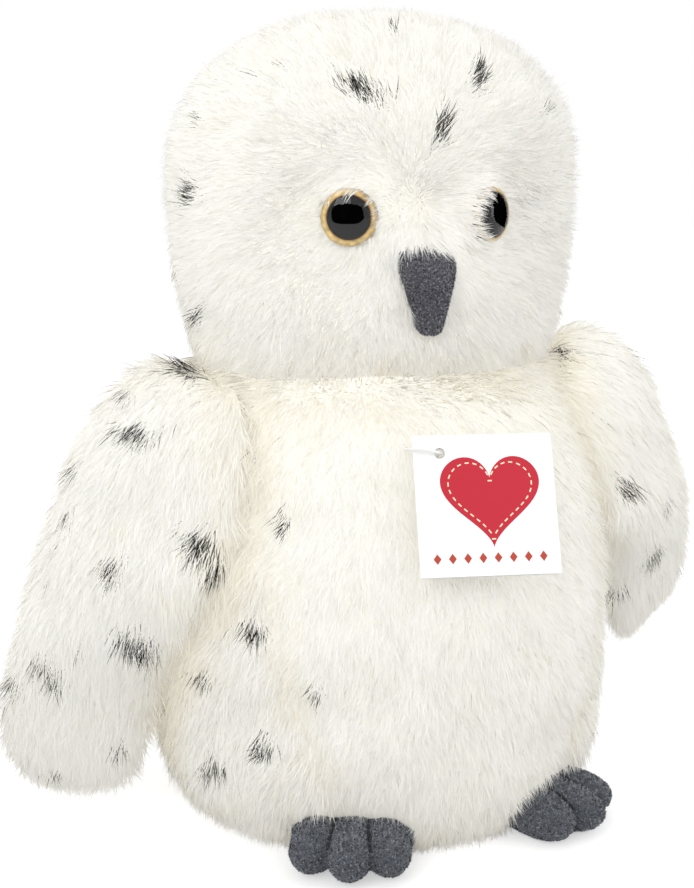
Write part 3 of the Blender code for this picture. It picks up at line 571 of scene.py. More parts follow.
def pileMesh(name, roots, normals, combs, look, tone, rise, short):
    # each blade rises from its root at lay degrees from the normal and bends over by bend
    # degrees: p1 = p0 + 0.55 L d1, p2 = p1 + 0.45 L d2, with half widths w, 0.8 w and 0;
    # rise, 0 to 1, stands the blades up, and short, 0 to 1, cuts them
    count = len(roots)
    tangent = unit(combs - normals * np.sum(combs * normals, axis=1, keepdims=True))
    side = np.cross(tangent, normals)
    swing = np.radians(rng.normal(0, look["swing"], count))[:, None]
    tangent = unit(tangent * np.cos(swing) + side * np.sin(swing))
    side = np.cross(tangent, normals)
    lay = np.radians(rng.normal(look["lay"], look["layVary"], count) * (1 - rise))[:, None]
    bend = lay + np.radians(look["bend"])
    length = look["length"] * np.clip(rng.normal(1, look["lengthVary"], count),
                                     *bladeForm["lengths"])
    length = (length * (1 - short))[:, None]
    # tufts: tips drift together along a smooth field
    drift = waveDrift(roots, look["tuft"], bladeForm["waves"], look["seed"]) * look["tuftReach"]
    drift -= normals * np.sum(drift * normals, axis=1, keepdims=True)
    first = normals * np.cos(lay) + tangent * np.sin(lay)
    second = normals * np.cos(bend) + tangent * np.sin(bend)
    knee = roots + first * length * bladeForm["knee"] + drift * bladeForm["kneeDrift"]
    tip = knee + second * length * bladeForm["end"] + drift * bladeForm["endDrift"]
    roll = np.radians(rng.normal(0, look["roll"], count))[:, None]
    flat = unit(side * np.cos(roll) + np.cross(first, side) * np.sin(roll))
    half = look["width"] / 2 * rng.uniform(*bladeForm["widths"], count)[:, None]
    points = np.stack([roots - flat * half, roots + flat * half,
                       knee - flat * half * bladeForm["kneeWidth"],
                       knee + flat * half * bladeForm["kneeWidth"], tip], axis=1)
    points[..., 2] = np.maximum(points[..., 2], bladeForm["floor"])
    start = 5 * np.arange(count)[:, None]
    quads = start + np.array([0, 1, 3, 2])
    tips = start + np.array([2, 3, 4])
    slots = np.concatenate([tone["root"], tone["tip"]])
    mesh = meshFromArrays(name, points.reshape(-1, 3), [quads, tips], slots)
    if "round" in look:
        # hollows are shaded softly, as if the form were rounder
        middle, share = look["round"]
        normals = unit(normals * (1 - share) + unit(roots - np.array(middle)) * share)
    shading = unit(normals + first * look["strandShade"]
                   + rng.normal(0, look["normalVary"], roots.shape))
    mesh.normals_split_custom_set_from_vertices(np.repeat(shading, 5, axis=0).tolist())
    return mesh


# Spots: clusters of dark blades, placed by their pixels in the photograph
# name: x, y, length and width in pixels, angle in degrees from the right, darkness


spotsSeen = {
    "crown": (391, 19, 15, 10, -50, 0.6), "forehead": (361, 85, 48, 24, -25, 1.0),
    "browLeft": (483, 70, 38, 17, 88, 1.0), "browMiddle": (445, 125, 34, 16, 80, 1.0),
    "templeFar": (549, 109, 12, 9, 60, 0.7), "crownSide": (249, 67, 14, 5, 5, 0.5),
    "crownSideFaint": (276, 61, 10, 5, -10, 0.3), "templeHigh": (192, 120, 18, 8, 75, 0.35),
    "temple": (186, 193, 28, 17, 60, 0.85), "cheek": (194, 317, 18, 13, 60, 0.9),
    "shoulder": (190, 369, 36, 18, -15, 0.9), "shoulderEdge": (142, 368, 14, 7, 60, 0.4),
    "wingHighEdge": (126, 395, 22, 8, 65, 0.6), "wingHigh": (135, 431, 46, 15, -5, 0.85),
    "wingEdgeA": (75, 472, 12, 9, 60, 0.7), "wingEdgeB": (67, 511, 18, 7, 75, 0.6),
    "wingEdgeC": (56, 544, 14, 6, 70, 0.25), "wingEdgeD": (44, 580, 12, 6, 75, 0.45),
    "wingMiddle": (113, 565, 30, 16, 55, 0.95), "wingFront": (200, 546, 38, 26, -50, 0.8),
    "wingFrontLow": (215, 572, 22, 15, 60, 1.0), "wingLow": (136, 644, 42, 28, -45, 0.8),
    "wingDot": (81, 647, 7, 6, 0, 0.4), "wingLowOuterA": (43, 664, 24, 14, -30, 0.5),
    "wingLowOuterB": (55, 680, 24, 13, 60, 1.0), "wingLowEdge": (15, 685, 22, 13, -60, 0.55),
    "wingTipEdge": (8, 709, 16, 8, 60, 0.3), "wingTip": (121, 751, 24, 12, 55, 0.6),
    "sideHigh": (281, 510, 9, 7, 90, 0.6), "sideMiddle": (281, 527, 18, 10, 90, 0.85),
    "sideFaint": (252, 457, 16, 7, 80, 0.35), "sideWide": (253, 635, 32, 15, -20, 1.0),
    "sideLow": (201, 680, 20, 16, -45, 1.0), "sideBack": (159, 706, 14, 11, 50, 0.95),
    "bellyEdge": (315, 700, 19, 7, 105, 0.85), "hipFront": (262, 752, 28, 17, 60, 0.95),
    "hip": (210, 771, 30, 17, 10, 1.0), "farWing": (627, 488, 34, 18, -50, 1.0),
    "farWingEdge": (665, 502, 13, 9, 30, 0.65), "farWingMiddle": (652, 554, 26, 15, -60, 0.85),
    "farWingLow": (613, 594, 28, 12, -10, 0.6), "farWingHigh": (661, 417, 12, 6, -60, 0.25),
}


def spotCentres():
    # each spot's ray meets the forms; its axes lie across the line of sight
    eye = Vector(cameraSettings["place"])
    ahead = Vector(cameraSettings["ahead"]).normalized()
    across = ahead.cross(Vector((0, 0, 1))).normalized()
    upward = across.cross(ahead)
    width, height = cameraSettings["imageSize"]
    focal = cameraSettings["focalPixels"]
    spots = []
    for name, (px, py, longPx, widePx, angle, dark) in spotsSeen.items():
        x = (px - width / 2) / focal
        y = (height / 2 - py) / focal
        way = (ahead + across * x + upward * y).normalized()
        best = None
        for key, tree in formTrees.items():
            place, normal, face, distance = tree.ray_cast(eye, way)
            if place is not None and (best is None or distance < best[2]):
                best = (key, place, distance)
        if best is None:
            # a spot on the very edge of the outline: the nearest point of the forms
            middle = eye + way * (eye - Vector(cameraSettings["aim"])).length
            found = [(tree.find_nearest(middle), key) for key, tree in formTrees.items()]
            nearest, key = min(found, key=lambda item: item[0][3])
            best = (key, nearest[0], (nearest[0] - eye).length)
        key, place, distance = best
        turn = math.radians(angle)
        longAxis = across * math.cos(turn) + upward * math.sin(turn)
        wideAxis = -across * math.sin(turn) + upward * math.cos(turn)
        scale = distance / focal / 2
        spots.append({"on": key, "place": np.array(place), "long": np.array(longAxis),
                      "wide": np.array(wideAxis), "halfLong": longPx * scale,
                      "halfWide": widePx * scale, "dark": dark})
    return spots


def hiddenSpots(grids, spots, settings):
    # where the photograph doesn't look, spots of the same sizes at the same spacing
    eye = np.array(cameraSettings["place"])
    for key, grid in grids.items():
        places, normals, rows = scatterOn(grid, settings["tries"])
        facing = np.sum(unit(eye - places) * normals, axis=1)
        lowest = settings["lowest"].get(key, 0)
        for place, normal, face in zip(places, normals, facing):
            plain = key == "head" and place[1] < headForm["seamY"]
            bare = (key == "body" and place[1] < bodyForm["middleY"]
                    and abs(place[0]) < panelHalfWidth("belly", place[2]))
            if face > settings["facing"] or plain or bare or place[2] < lowest:
                continue
            gaps = [np.linalg.norm(place - spot["place"]) for spot in spots]
            if min(gaps) < settings["spacing"]:
                continue
            down = unit(np.array([0, 0, -1.0]) + normal * normal[2]
                        + rng.normal(0, settings["tilt"], 3))
            spots.append({"on": key, "place": place, "long": down,
                          "wide": unit(np.cross(down, normal)),
                          "halfLong": rng.uniform(*settings["halfLong"]),
                          "halfWide": rng.uniform(*settings["halfWide"]),
                          "dark": rng.uniform(*settings["dark"])})
    return spots


spotForm = {"gain": 1.7, "fall": 2.1, "depth": 0.009, "most": 0.97, "greyRoots": 0.55}
hiddenSettings = {"tries": 900, "facing": -0.02, "spacing": 0.024, "halfLong": (0.0032, 0.0062),
                  "halfWide": (0.0020, 0.0036), "lowest": {"body": 0.014, "head": 0.163},
                  "tilt": 0.35, "dark": (0.7, 1.0)}
formGrids = {"body": bodyGrid(0), "head": headGrid(0), "wingRight": wingGrid("right", 0),
             "wingLeft": wingGrid("left", 0)}
formTrees = {}
for key, grid in formGrids.items():
    points, quads, fans = gridArrays(grid)
    formTrees[key] = BVHTree.FromPolygons(points.tolist(), quads.tolist())
spots = spotCentres()
seenCount = len(spots)
spots = hiddenSpots(formGrids, spots, hiddenSettings)
print("spots", seenCount, len(spots) - seenCount)


def spotDarkness(key, points):
    # greatest over the spots of gain dark e^(-fall r^2), r in half lengths and half widths
    total = np.zeros(len(points))
    for spot in spots:
        if spot["on"] != key:
            continue
        offset = points - spot["place"]
        r = ((offset @ spot["long"]) / spot["halfLong"]) ** 2
        r += ((offset @ spot["wide"]) / spot["halfWide"]) ** 2
        # a spot doesn't show through to the far face of a thin wing
        near = np.abs(offset @ np.cross(spot["long"], spot["wide"])) < spotForm["depth"]
        total = np.maximum(total, spotForm["gain"] * spot["dark"]
                           * np.exp(-spotForm["fall"] * r) * near)
    return np.minimum(total, spotForm["most"])


def nearness(points, keys, reach, share):
    # by the distance to the nearest of the named forms
    gaps = [min(formTrees[key].find_nearest(Vector(p))[3] for key in keys) for p in points]
    return fade(np.array(gaps), reach, share)


toneForm = {"cloud": 0.02, "waves": 10, "depth": 0.12, "spread": 0.25, "creamRoot": 0.45,
            "creamTip": 0.62, "ivoryTip": 0.2, "along": 0.45}


def pileTone(key, points, crease, seed):
    # which slot the root and the tip of each blade take: the crease share is painted shade, toned
    # cream, and the cloud and the spread are random tone
    count = len(points)
    cloud = waveNoise(points, toneForm["cloud"], toneForm["waves"], seed) * toneForm["depth"]
    shade = crease + cloud + rng.uniform(-toneForm["spread"], toneForm["spread"], count)
    shade = np.clip(shade, 0, 1)
    # painted shade between the fibres: a root is never white, only ivory or cream
    root = np.where(shade > toneForm["creamRoot"], creamSlot, ivorySlot)
    tip = np.where(shade > toneForm["creamTip"], creamSlot,
                   np.where(shade > toneForm["ivoryTip"], ivorySlot, whiteSlot))
    dark = spotDarkness(key, points)
    pick = rng.random(count) < dark
    greyRoot = rng.random(count) < spotForm["greyRoots"]
    root = np.where(pick, np.where(greyRoot, greySlot, blackSlot), root)
    tip = np.where(pick, blackSlot, tip)
    return {"root": root, "tip": tip}


backing = backingMaterial()
headRound = ((0.0, 0.004, 0.188), 0.65)
sharedLook = {"layVary": 8, "roll": 30, "strandShade": 0.25, "normalVary": 0.12,
              "width": 0.00034, "bend": 14, "inset": 0.0036}
pileLook = {
    "belly": {"length": 0.0080, "lengthVary": 0.14, "lay": 56, "swing": 16, "tuft": 0.009,
              "tuftReach": 0.0010, "seed": 20, "round": ((0.0, 0.002, 0.150), 0.12)},
    "side": {"length": 0.0095, "lengthVary": 0.14, "lay": 59, "swing": 16, "tuft": 0.010,
             "tuftReach": 0.0014, "seed": 30},
    "face": {"length": 0.0080, "lengthVary": 0.13, "lay": 52, "swing": 18, "tuft": 0.009,
             "tuftReach": 0.0009, "seed": 40, "width": 0.00032, "round": headRound},
    "headBack": {"length": 0.0090, "lengthVary": 0.13, "lay": 57, "swing": 18, "tuft": 0.010,
                 "tuftReach": 0.0012, "seed": 50, "round": headRound},
    "wing": {"length": 0.0110, "lengthVary": 0.16, "lay": 66, "swing": 15, "tuft": 0.012,
             "tuftReach": 0.0016, "seed": 60, "bend": 12, "inset": 0.0026},
}
pileLook = {name: {**sharedLook, **look} for name, look in pileLook.items()}
pileCounts = {
    "belly": 60000, "sideRight": 48000, "sideLeft": 36000, "back": 46000, "base": 9000,
    "face": 60000, "headBackRight": 44000, "headBackLeft": 40000, "wingOuter": 46000,
    "wingInner": 24000, "beakNap": 16000, "footNap": 30000,
}
quickShare = 1.0


def addPile(name, body, slot, grid, key, weight, count, look, comb, crease, stand):
    roots, normals, rows = scatterOn(grid, int(count * quickShare), weight)
    points = roots + normals * look["inset"]
    combs = comb(points, rows)
    reach = unit(combs - normals * np.sum(combs * normals, axis=1, keepdims=True))
    tone = pileTone(key, points + reach * look["length"] * toneForm["along"], crease(points),
                    look["seed"])
    mesh = pileMesh(name, roots, normals, combs, look, tone, *stand(points))
    piece = linkObject(name, mesh, pileSlots)
    # light seeps through the fine white fibres, so the blades take none from each other
    piece.visible_diffuse = False
    piece.visible_shadow = slot != "white_plush"
    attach(piece, body)
    print("pile", name, len(roots))


def addBacking(name, body, grid, nodes, lastPole=None):
    piece = closedGrid(name, grid, [backing], lastPole)
    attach(piece, body)
    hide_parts(*nodes)


# Body: one backing under five panels of pile


bodyPile = {
    "spread": 0.35, "waves": (0.03, 8, 5), "drift": 0.22, "plain": 0.12,
    # reach and share of what fades with the distance: the painted shade at the seam, the neck, the
    # wings and the foot, and the pile's rise at the neck
    "seam": (0.005, 0.4), "neck": (0.014, 0.6), "wings": (0.012, 0.95), "foot": (0.020, 0.35),
    "neckRise": (0.010, 0.6),
    # bare under a foot: ahead of this, within this across, and below this
    "underFoot": (-0.006, 0.0195, 0.0235),
}
bodyBackingGrid = bodyGrid(pileLook["side"]["inset"])
addBacking("body_backing", "torso", bodyBackingGrid,
           ["body_belly_panel", "body_side_panel_right", "body_side_panel_left",
            "body_back_panel", "body_base_panel", "body_filling", "pellet_pouch"])


def onBase(points):
    reach = ((points[..., 0] / bodyForm["baseHalfWidth"]) ** 2
             + ((points[..., 1] - bodyForm["middleY"]) / bodyForm["baseHalfDepth"]) ** 2)
    return (reach < 1) & (points[..., 2] < bodyForm["baseEdgeHeight"])


def onPanel(points, panel, sign):
    # between the seams of the belly, which lies to the front (-1), or of the back (1)
    return (((points[..., 1] - bodyForm["middleY"]) * sign > 0) & ~onBase(points)
            & (np.abs(points[..., 0]) < panelHalfWidth(panel, points[..., 2])))


def onSide(points, sign):
    middle = onPanel(points, "belly", -1) | onPanel(points, "back", 1) | onBase(points)
    return ~middle & (points[..., 0] * sign > 0)


def overFeet(points):
    # the pile is cut back where the feet are sewn on
    ahead, half, high = bodyPile["underFoot"]
    bare = np.zeros(points.shape[:-1], bool)
    for side in sides.values():
        turn = side * math.radians(footForm["splayDegrees"])
        x = points[..., 0] - side * footForm["x"]
        y = points[..., 1] - footForm["y"]
        out = x * math.sin(turn) - y * math.cos(turn)
        across = x * math.cos(turn) + y * math.sin(turn)
        bare |= (out > ahead) & (np.abs(across) < half) & (points[..., 2] < high)
    return bare


def bodyComb(points, rows):
    # down, and a little out to the sides
    way = np.zeros_like(points)
    way[:, 2] = -1
    way[:, 0] = points[:, 0] / bodyForm["halfWidth"] * bodyPile["spread"]
    return way + waveDrift(points, *bodyPile["waves"]) * bodyPile["drift"]


def bodyCreaseShade(points):
    # painted shade: the pile is toned cream in the seams, at the neck, beside the wings and low
    # between the feet
    seam = fade(seamDistance(points), *bodyPile["seam"])
    neck = fade(points[:, 2] - bodyForm["neckHeight"], *bodyPile["neck"])
    wings = nearness(points, ("wingRight", "wingLeft"), *bodyPile["wings"])
    foot = fade(points[:, 2], *bodyPile["foot"])
    return bodyPile["plain"] + np.maximum(seam + neck, np.maximum(wings, foot))


def bodyStand(points):
    # the pile stands up into the crease under the head
    rise = fade(points[:, 2] - bodyForm["neckHeight"], *bodyPile["neckRise"])
    return rise, np.zeros(len(points))


bodyPanels = {
    "belly_pile": ("white_plush", lambda p: onPanel(p, "belly", -1), "belly", "belly"),
    "side_pile_right": ("spotted_plush", lambda p: onSide(p, -1), "sideRight", "side"),
    "side_pile_left": ("spotted_plush", lambda p: onSide(p, 1), "sideLeft", "side"),
    "back_pile": ("spotted_plush", lambda p: onPanel(p, "back", 1), "back", "side"),
    "base_pile": ("white_plush", onBase, "base", "belly"),
}
for name, (slot, inside, countName, lookName) in bodyPanels.items():
    addPile(name, "torso", slot, bodyBackingGrid, "body",
            lambda p, inside=inside: (inside(p) & ~overFeet(p)).astype(float),
            pileCounts[countName], pileLook[lookName], bodyComb, bodyCreaseShade, bodyStand)


# Head


def crownRings(grid, pole):
    # rings that close in on the crown: its height falls as the square of the reach s
    s = np.linspace(*headForm["crownReach"], headForm["crownRings"])[:, None, None]
    rings = pole + (grid[-1] - pole) * s
    rings[..., 2] = pole[2] + (grid[-1][:, 2] - pole[2]) * s[..., 0] ** 2
    return np.vstack([grid, rings])


headTop = (0, headForm["middleY"], bodyForm["neckHeight"] + headForm["height"]
           - pileLook["face"]["inset"])
headBackingGrid = pressUnderEyes(headGrid(pileLook["face"]["inset"]), eyeForm["pressGap"])
headBackingGrid[0, :, 2] = bodyForm["neckHeight"] - headForm["neckFoot"]
headBackingGrid = crownRings(headBackingGrid, np.array(headTop))
addBacking("head_backing", "torso", headBackingGrid,
           ["head_face_panel", "head_back_panel_right", "head_back_panel_left", "head_filling"],
           lastPole=headTop)


def roundEyes(points):
    # for each eye: its side, the points in its own frame and how far they lie from its axis
    for side in sides.values():
        local = localTo(eyeMatrix(side), points)
        yield side, local, np.hypot(local[..., 0], local[..., 1])


clearForm = {
    "eyeInset": 0.0006,
    # under the beak: rows of height and half width, as shares of the beak's
    "beakRows": [(0, 0.2), (0.1, 0.4), (0.45, 0.75), (0.8, 0.9), (0.93, 0.7), (1.0, 0.2)],
    "beakSpan": (0.04, 0.76), "beakShare": 0.9,
    # thick just above the beak, where the pile hangs over it
    "hangSpan": (0.90, 1.2), "hangMargin": 0.001, "hangWeight": 3.0,
}


def clearOfFeatures(points):
    # no pile grows under the eyes and the beak
    clear = np.ones(points.shape[:-1])
    for side, local, reach in roundEyes(points):
        under = reach < eyeForm["radius"] - clearForm["eyeInset"]
        clear *= ~(under & (local[..., 2] > eyeForm["behind"]))
    height = (points[..., 2] - beakForm["tip"]) / (beakForm["top"] - beakForm["tip"])
    half = np.interp(height, *zip(*clearForm["beakRows"]))
    offset = np.abs(points[..., 0] - beakForm["x"])
    low, high = clearForm["beakSpan"]
    inside = ((height > low) & (height < high) & (points[..., 1] < 0)
              & (offset < half * beakForm["halfWidth"] * clearForm["beakShare"]))
    low, high = clearForm["hangSpan"]
    hangs = ((height > low) & (height < high) & (points[..., 1] < 0)
             & (offset < beakForm["halfWidth"] + clearForm["hangMargin"]))
    return clear * ~inside * np.where(hangs, clearForm["hangWeight"], 1.0)


combForm = {
    "bridge": (-0.002, -0.040, 0.2080), "turnDepth": 0.045, "fallHeight": 0.03, "fall": 0.5,
    # how far the pile leans over an eye's rim, and away from it elsewhere
    "rimReach": 0.006, "rimLean": {-1: (-0.45, 0.8), 1: (-0.9, 0.3)}, "browShare": 0.4,
    # the comb's waves and drift, then the painted shade: its base share, and its reach and share at
    # the neck
    "waves": (0.025, 8, 15), "drift": 0.25, "plain": 0.10, "neck": (0.010, 0.35),
}
standForm = {
    # reach and share of what fades with the distance
    "rim": (0.006, 0.45), "rimCutReach": 0.0045, "rimCut": 0.34, "bridgeCut": 0.28,
    "parting": (0.010, 0.6), "partingCut": (0.008, 0.25),
    # above the beak: reach across and up, how far back, and the share it stands and grows by
    "hangReach": (0.010, 0.006), "hangBack": 0.02, "hang": 0.45,
    "crownFoot": 0.230, "crownHeight": 0.036, "crownCut": 0.38,
}


def headComb(points, rows):
    # from the bridge between the eyes up over the crown and out over the cheeks, then down
    # the back, and away from each eye close to it
    bridge = np.array(combForm["bridge"])
    behind = np.clip(points[:, 1] / combForm["turnDepth"], 0, 1)[:, None]
    below = np.clip((bridge[2] - points[:, 2]) / combForm["fallHeight"], 0, 1)[:, None]
    fall = combForm["fall"] * below + behind
    way = unit(points - bridge) * (1 - behind) + np.array([0, 0, -1.0]) * fall
    for side, local, reach in roundEyes(points):
        near = fade(np.maximum(reach - eyeForm["radius"], 0), combForm["rimReach"])
        near *= local[:, 2] > eyeForm["behind"]
        local[:, 2] = 0
        spin = np.array(eyeMatrix(side))[:3, :3]
        away = unit(local) @ spin.T
        # over the rim from the brow or from the bridge, away from the eye elsewhere
        inward = (eyeForm["x"] - (points[:, 0] - eyeForm["faceX"]) * side) / eyeForm["radius"]
        above = (points[:, 2] - eyeForm["height"]) / eyeForm["radius"]
        over = above > combForm["browShare"] if side < 0 else inward > 0
        lean = np.where(over, *combForm["rimLean"][side])
        way += away * (near * lean)[:, None]
    return way + waveDrift(points, *combForm["waves"]) * combForm["drift"]


def headCreaseShade(points):
    # painted shade: the pile is toned cream low on the head, where it meets the body
    return combForm["plain"] + fade(points[:, 2] - bodyForm["neckHeight"], *combForm["neck"])


def headStand(points):
    # upright and short round the eyes, over their rims, and upright above the beak
    rise = np.zeros(len(points))
    short = np.zeros(len(points))
    for side, local, reach in roundEyes(points):
        gap = np.maximum(reach - eyeForm["radius"], 0)
        ahead = local[:, 2] > eyeForm["behind"]
        rise = np.maximum(rise, fade(gap, *standForm["rim"]) * ahead)
        bridge = (points[:, 0] - eyeForm["faceX"]) * side < eyeForm["x"]
        cut = np.where(bridge & (side > 0), standForm["bridgeCut"], standForm["rimCut"])
        short = np.maximum(short, fade(gap, standForm["rimCutReach"], cut) * ahead)
    offset = points - np.array([beakForm["x"], beakForm["middleY"], beakForm["top"]])
    across, up = standForm["hangReach"]
    above = np.exp(-(offset[:, 0] / across) ** 2 - (offset[:, 2] / up) ** 2) * standForm["hang"]
    above *= offset[:, 1] < standForm["hangBack"]
    rise = np.maximum(rise, above)
    # the parting between the eyes stands up softly
    parting = np.linalg.norm(points - np.array(combForm["bridge"]), axis=1)
    rise = np.maximum(rise, fade(parting, *standForm["parting"]))
    # and the pile is worn shorter on the crown
    crown = np.clip((points[:, 2] - standForm["crownFoot"]) / standForm["crownHeight"], 0, 1)
    short = short + fade(parting, *standForm["partingCut"]) - above + crown * standForm["crownCut"]
    return rise, short


def onHeadBack(points, sign):
    return (points[..., 1] > headForm["seamY"]) & (points[..., 0] * sign > 0)


headPanels = {
    "face_pile": ("white_plush", lambda p: p[..., 1] < headForm["seamY"], "face", "face"),
    "head_back_pile_right": ("spotted_plush", lambda p: onHeadBack(p, -1), "headBackRight",
                             "headBack"),
    "head_back_pile_left": ("spotted_plush", lambda p: onHeadBack(p, 1), "headBackLeft",
                            "headBack"),
}
for name, (slot, inside, countName, lookName) in headPanels.items():
    addPile(name, "torso", slot, headBackingGrid, "head",
            lambda p, inside=inside: inside(p) * clearOfFeatures(p),
            pileCounts[countName], pileLook[lookName], headComb, headCreaseShade, headStand)


# Wings


# plain and body give the painted shade: a base share, and cream where the wing lies close to the
# body
wingPile = {"along": 0.7, "fall": (0, 0, -0.6), "waves": (0.03, 8, 25), "drift": 0.22,
            "plain": 0.10, "body": (0.008, 0.6), "tipCut": (0.020, 0.5),
            "outward": (0.8, -0.6, 0.0)}


def addWing(sideName, sideSign):
    body = "wing_" + sideName
    grid = wingGrid(sideName, pileLook["wing"]["inset"])
    addBacking("wing_backing_" + sideName, body, grid,
               ["wing_outer_panel_" + sideName, "wing_inner_panel_" + sideName,
                "wing_wadding_" + sideName])
    middles = grid.mean(axis=1)
    ways = unit(np.gradient(middles, axis=0))
    outward = np.array(wingPile["outward"]) * np.array([sideSign, 1, 1])

    def wingComb(points, rows):
        # along the wing, and a little down, so that it lies round the shoulder
        low = np.clip(rows.astype(int), 0, len(ways) - 1)
        return (ways[low] * wingPile["along"] + np.array(wingPile["fall"])
                + waveDrift(points, *wingPile["waves"]) * wingPile["drift"])

    def wingCreaseShade(points):
        # painted shade: the pile is toned cream where the wing lies close to the body
        return wingPile["plain"] + nearness(points, ("body",), *wingPile["body"])

    def wingStand(points):
        # the blades end shorter at the tip
        gap = np.linalg.norm(points - middles[-1], axis=1)
        return np.zeros(len(points)), fade(gap, *wingPile["tipCut"])

    def facesOut(points):
        nearest = np.argmin(np.abs(points[..., 2, None] - middles[:, 2]), axis=-1)
        return (points - middles[nearest]) @ outward > 0

    for stem, out, countName in (("wing_outer_pile_", True, "wingOuter"),
                                 ("wing_inner_pile_", False, "wingInner")):
        addPile(stem + sideName, body, "spotted_plush", grid, "wing" + sideName.capitalize(),
                lambda p, out=out: (facesOut(p) == out).astype(float),
                pileCounts[countName], pileLook["wing"], wingComb, wingCreaseShade, wingStand)


for sideName, sideSign in sides.items():
    addWing(sideName, sideSign)


# Beak: a stuffed fleece cone with a short nap


napLook = {"length": 0.0007, "lengths": (0.5, 1.3), "spread": 1.1, "width": 0.00034,
           "floor": 0.0001, "patches": (0.0009, 16, 77), "toneVary": 0.35,
           "tones": (-0.55, 0.0, 0.55)}


def napMesh(name, roots, normals, look):
    # single raised fibres: a triangle from the surface to a point, its tone from a fine
    # noise, so that the felted fleece looks grained
    way = unit(normals + rng.normal(0, look["spread"], roots.shape))
    flat = unit(np.cross(way, rng.normal(size=roots.shape)))
    tip = roots + way * look["length"] * rng.uniform(*look["lengths"], (len(roots), 1))
    half = look["width"] / 2
    points = np.stack([roots - flat * half, roots + flat * half, tip], axis=1)
    points[..., 2] = np.maximum(points[..., 2], look["floor"])
    faces = 3 * np.arange(len(roots))[:, None] + np.array([0, 1, 2])
    cloud = waveNoise(roots, *look["patches"]) + rng.normal(0, look["toneVary"], len(roots))
    slots = len(look["tones"]) - np.digitize(cloud, look["tones"])
    return meshFromArrays(name, points.reshape(-1, 3), [faces], slots, smooth=False)


def beakGrid(rowSteps=5, columns=48):
    table = smoothRows(beakForm["shares"], rowSteps)
    length = beakForm["top"] - beakForm["tip"]
    halfDepth = table[:, 2] * beakForm["halfDepth"]
    grid = ovalGrid(table[:, 1] * beakForm["halfWidth"], halfDepth, halfDepth, 0,
                    beakForm["tip"] + table[:, 0] * length, columns)
    grid[..., 0] += beakForm["x"]
    grid[..., 1] += (beakForm["middleY"] - table[:, 3] * beakForm["halfDepth"])[:, None]
    return grid


beakSkin = beakGrid()
beakPiece = closedGrid("beak_fleece_cover", beakSkin,
                       [fleeceMaterial("brushed beak fleece", *fleeceTones["beak"])])
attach(beakPiece, "torso")
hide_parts("beak_cover", "beak_filling")
beakPoints, beakWays = scatterOn(beakSkin, int(pileCounts["beakNap"] * quickShare))[:2]
beakNap = linkObject("beak_nap", napMesh("beak_nap", beakPoints, beakWays, napLook),
                     napMaterials("beak"))
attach(beakNap, "torso")
print("beak done")


# Feet: three stuffed toes and a heel, in slate fleece with dark stitching between the toes


def eggGrid(halfWidth, middle, direction, rows=22, columns=28):
    # x = -L cos a along the toe, and a ring of radius sin a to the power p round it
    a = np.linspace(footForm["pole"], np.pi - footForm["pole"], rows)[:, None]
    b = 2 * np.pi * (np.arange(columns) + 0.5)[None, :] / columns
    girth = np.sin(a) ** footForm["roundness"]
    x = -footForm["halfLength"] * np.cos(a) * np.ones_like(b)
    y = halfWidth * girth * np.cos(b)
    z = footForm["halfHeight"] * girth * np.sin(b)
    c, s = math.cos(direction), math.sin(direction)
    return np.stack([middle[0] + x * c - y * s, middle[1] + x * s + y * c, middle[2] + z], axis=2)


def footParts(side):
    height = footForm["halfHeight"] - footForm["flatCut"]
    ahead = -math.pi / 2
    parts = []
    for share, reach in ((-1, footForm["sideReach"]), (0, footForm["reach"]),
                         (1, footForm["sideReach"])):
        spread = ahead + share * math.radians(footForm["toeSpreadDegrees"])
        middle = (share * footForm["spacing"] - math.cos(spread) * footForm["halfLength"],
                  -reach - math.sin(spread) * footForm["halfLength"], height)
        parts.append(eggGrid(footForm["halfWidth"], middle, spread))
    parts.append(eggGrid(footForm["spacing"] + footForm["halfWidth"] * footForm["heelShare"],
                         (0, -footForm["halfLength"] * footForm["heelAhead"], height), ahead))
    turn = -math.radians(footForm["splayDegrees"])
    c, s = math.cos(turn), math.sin(turn)
    placed = []
    for grid in parts:
        x = grid[..., 0] * c - grid[..., 1] * s - footForm["x"]
        y = grid[..., 0] * s + grid[..., 1] * c + footForm["y"]
        z = np.maximum(grid[..., 2], footForm["floor"])
        part = np.stack([x, y, z], axis=2)
        if side == "left":
            part = part[:, ::-1] * np.array([-1, 1, 1])
        placed.append(part)
    return placed


slateFleece = fleeceMaterial("brushed slate fleece", *fleeceTones["slate"])
slateNap = napMaterials("slate")
stitchThread = plain("waxed black sewing thread")
footFinish = {"voxel": 0.0007, "smooth": 6, "relax": 0.5, "seamHeight": 0.0042,
              "seamDepth": 0.0005, "seamWidth": 0.0006}
stitchForm = {"first": 0.0215, "last": 0.0060, "length": 0.0021, "gap": 0.0006,
              "radius": 0.00048, "columns": 8, "rows": 7, "roundness": 0.6, "pole": 0.06,
              "valleyX": 0.0039, "valleySlope": 0.13, "lift": 0.0004, "above": 0.03,
              # any direction that no stitch runs in
              "askew": (0.3, 0.2, 0.9)}


def meshArrays(mesh):
    points = np.empty(len(mesh.vertices) * 3, np.float32)
    normals = np.empty(len(mesh.vertices) * 3, np.float32)
    mesh.vertices.foreach_get("co", points)
    mesh.vertex_normals.foreach_get("vector", normals)
    return points.reshape(-1, 3).astype(float), normals.reshape(-1, 3).astype(float)


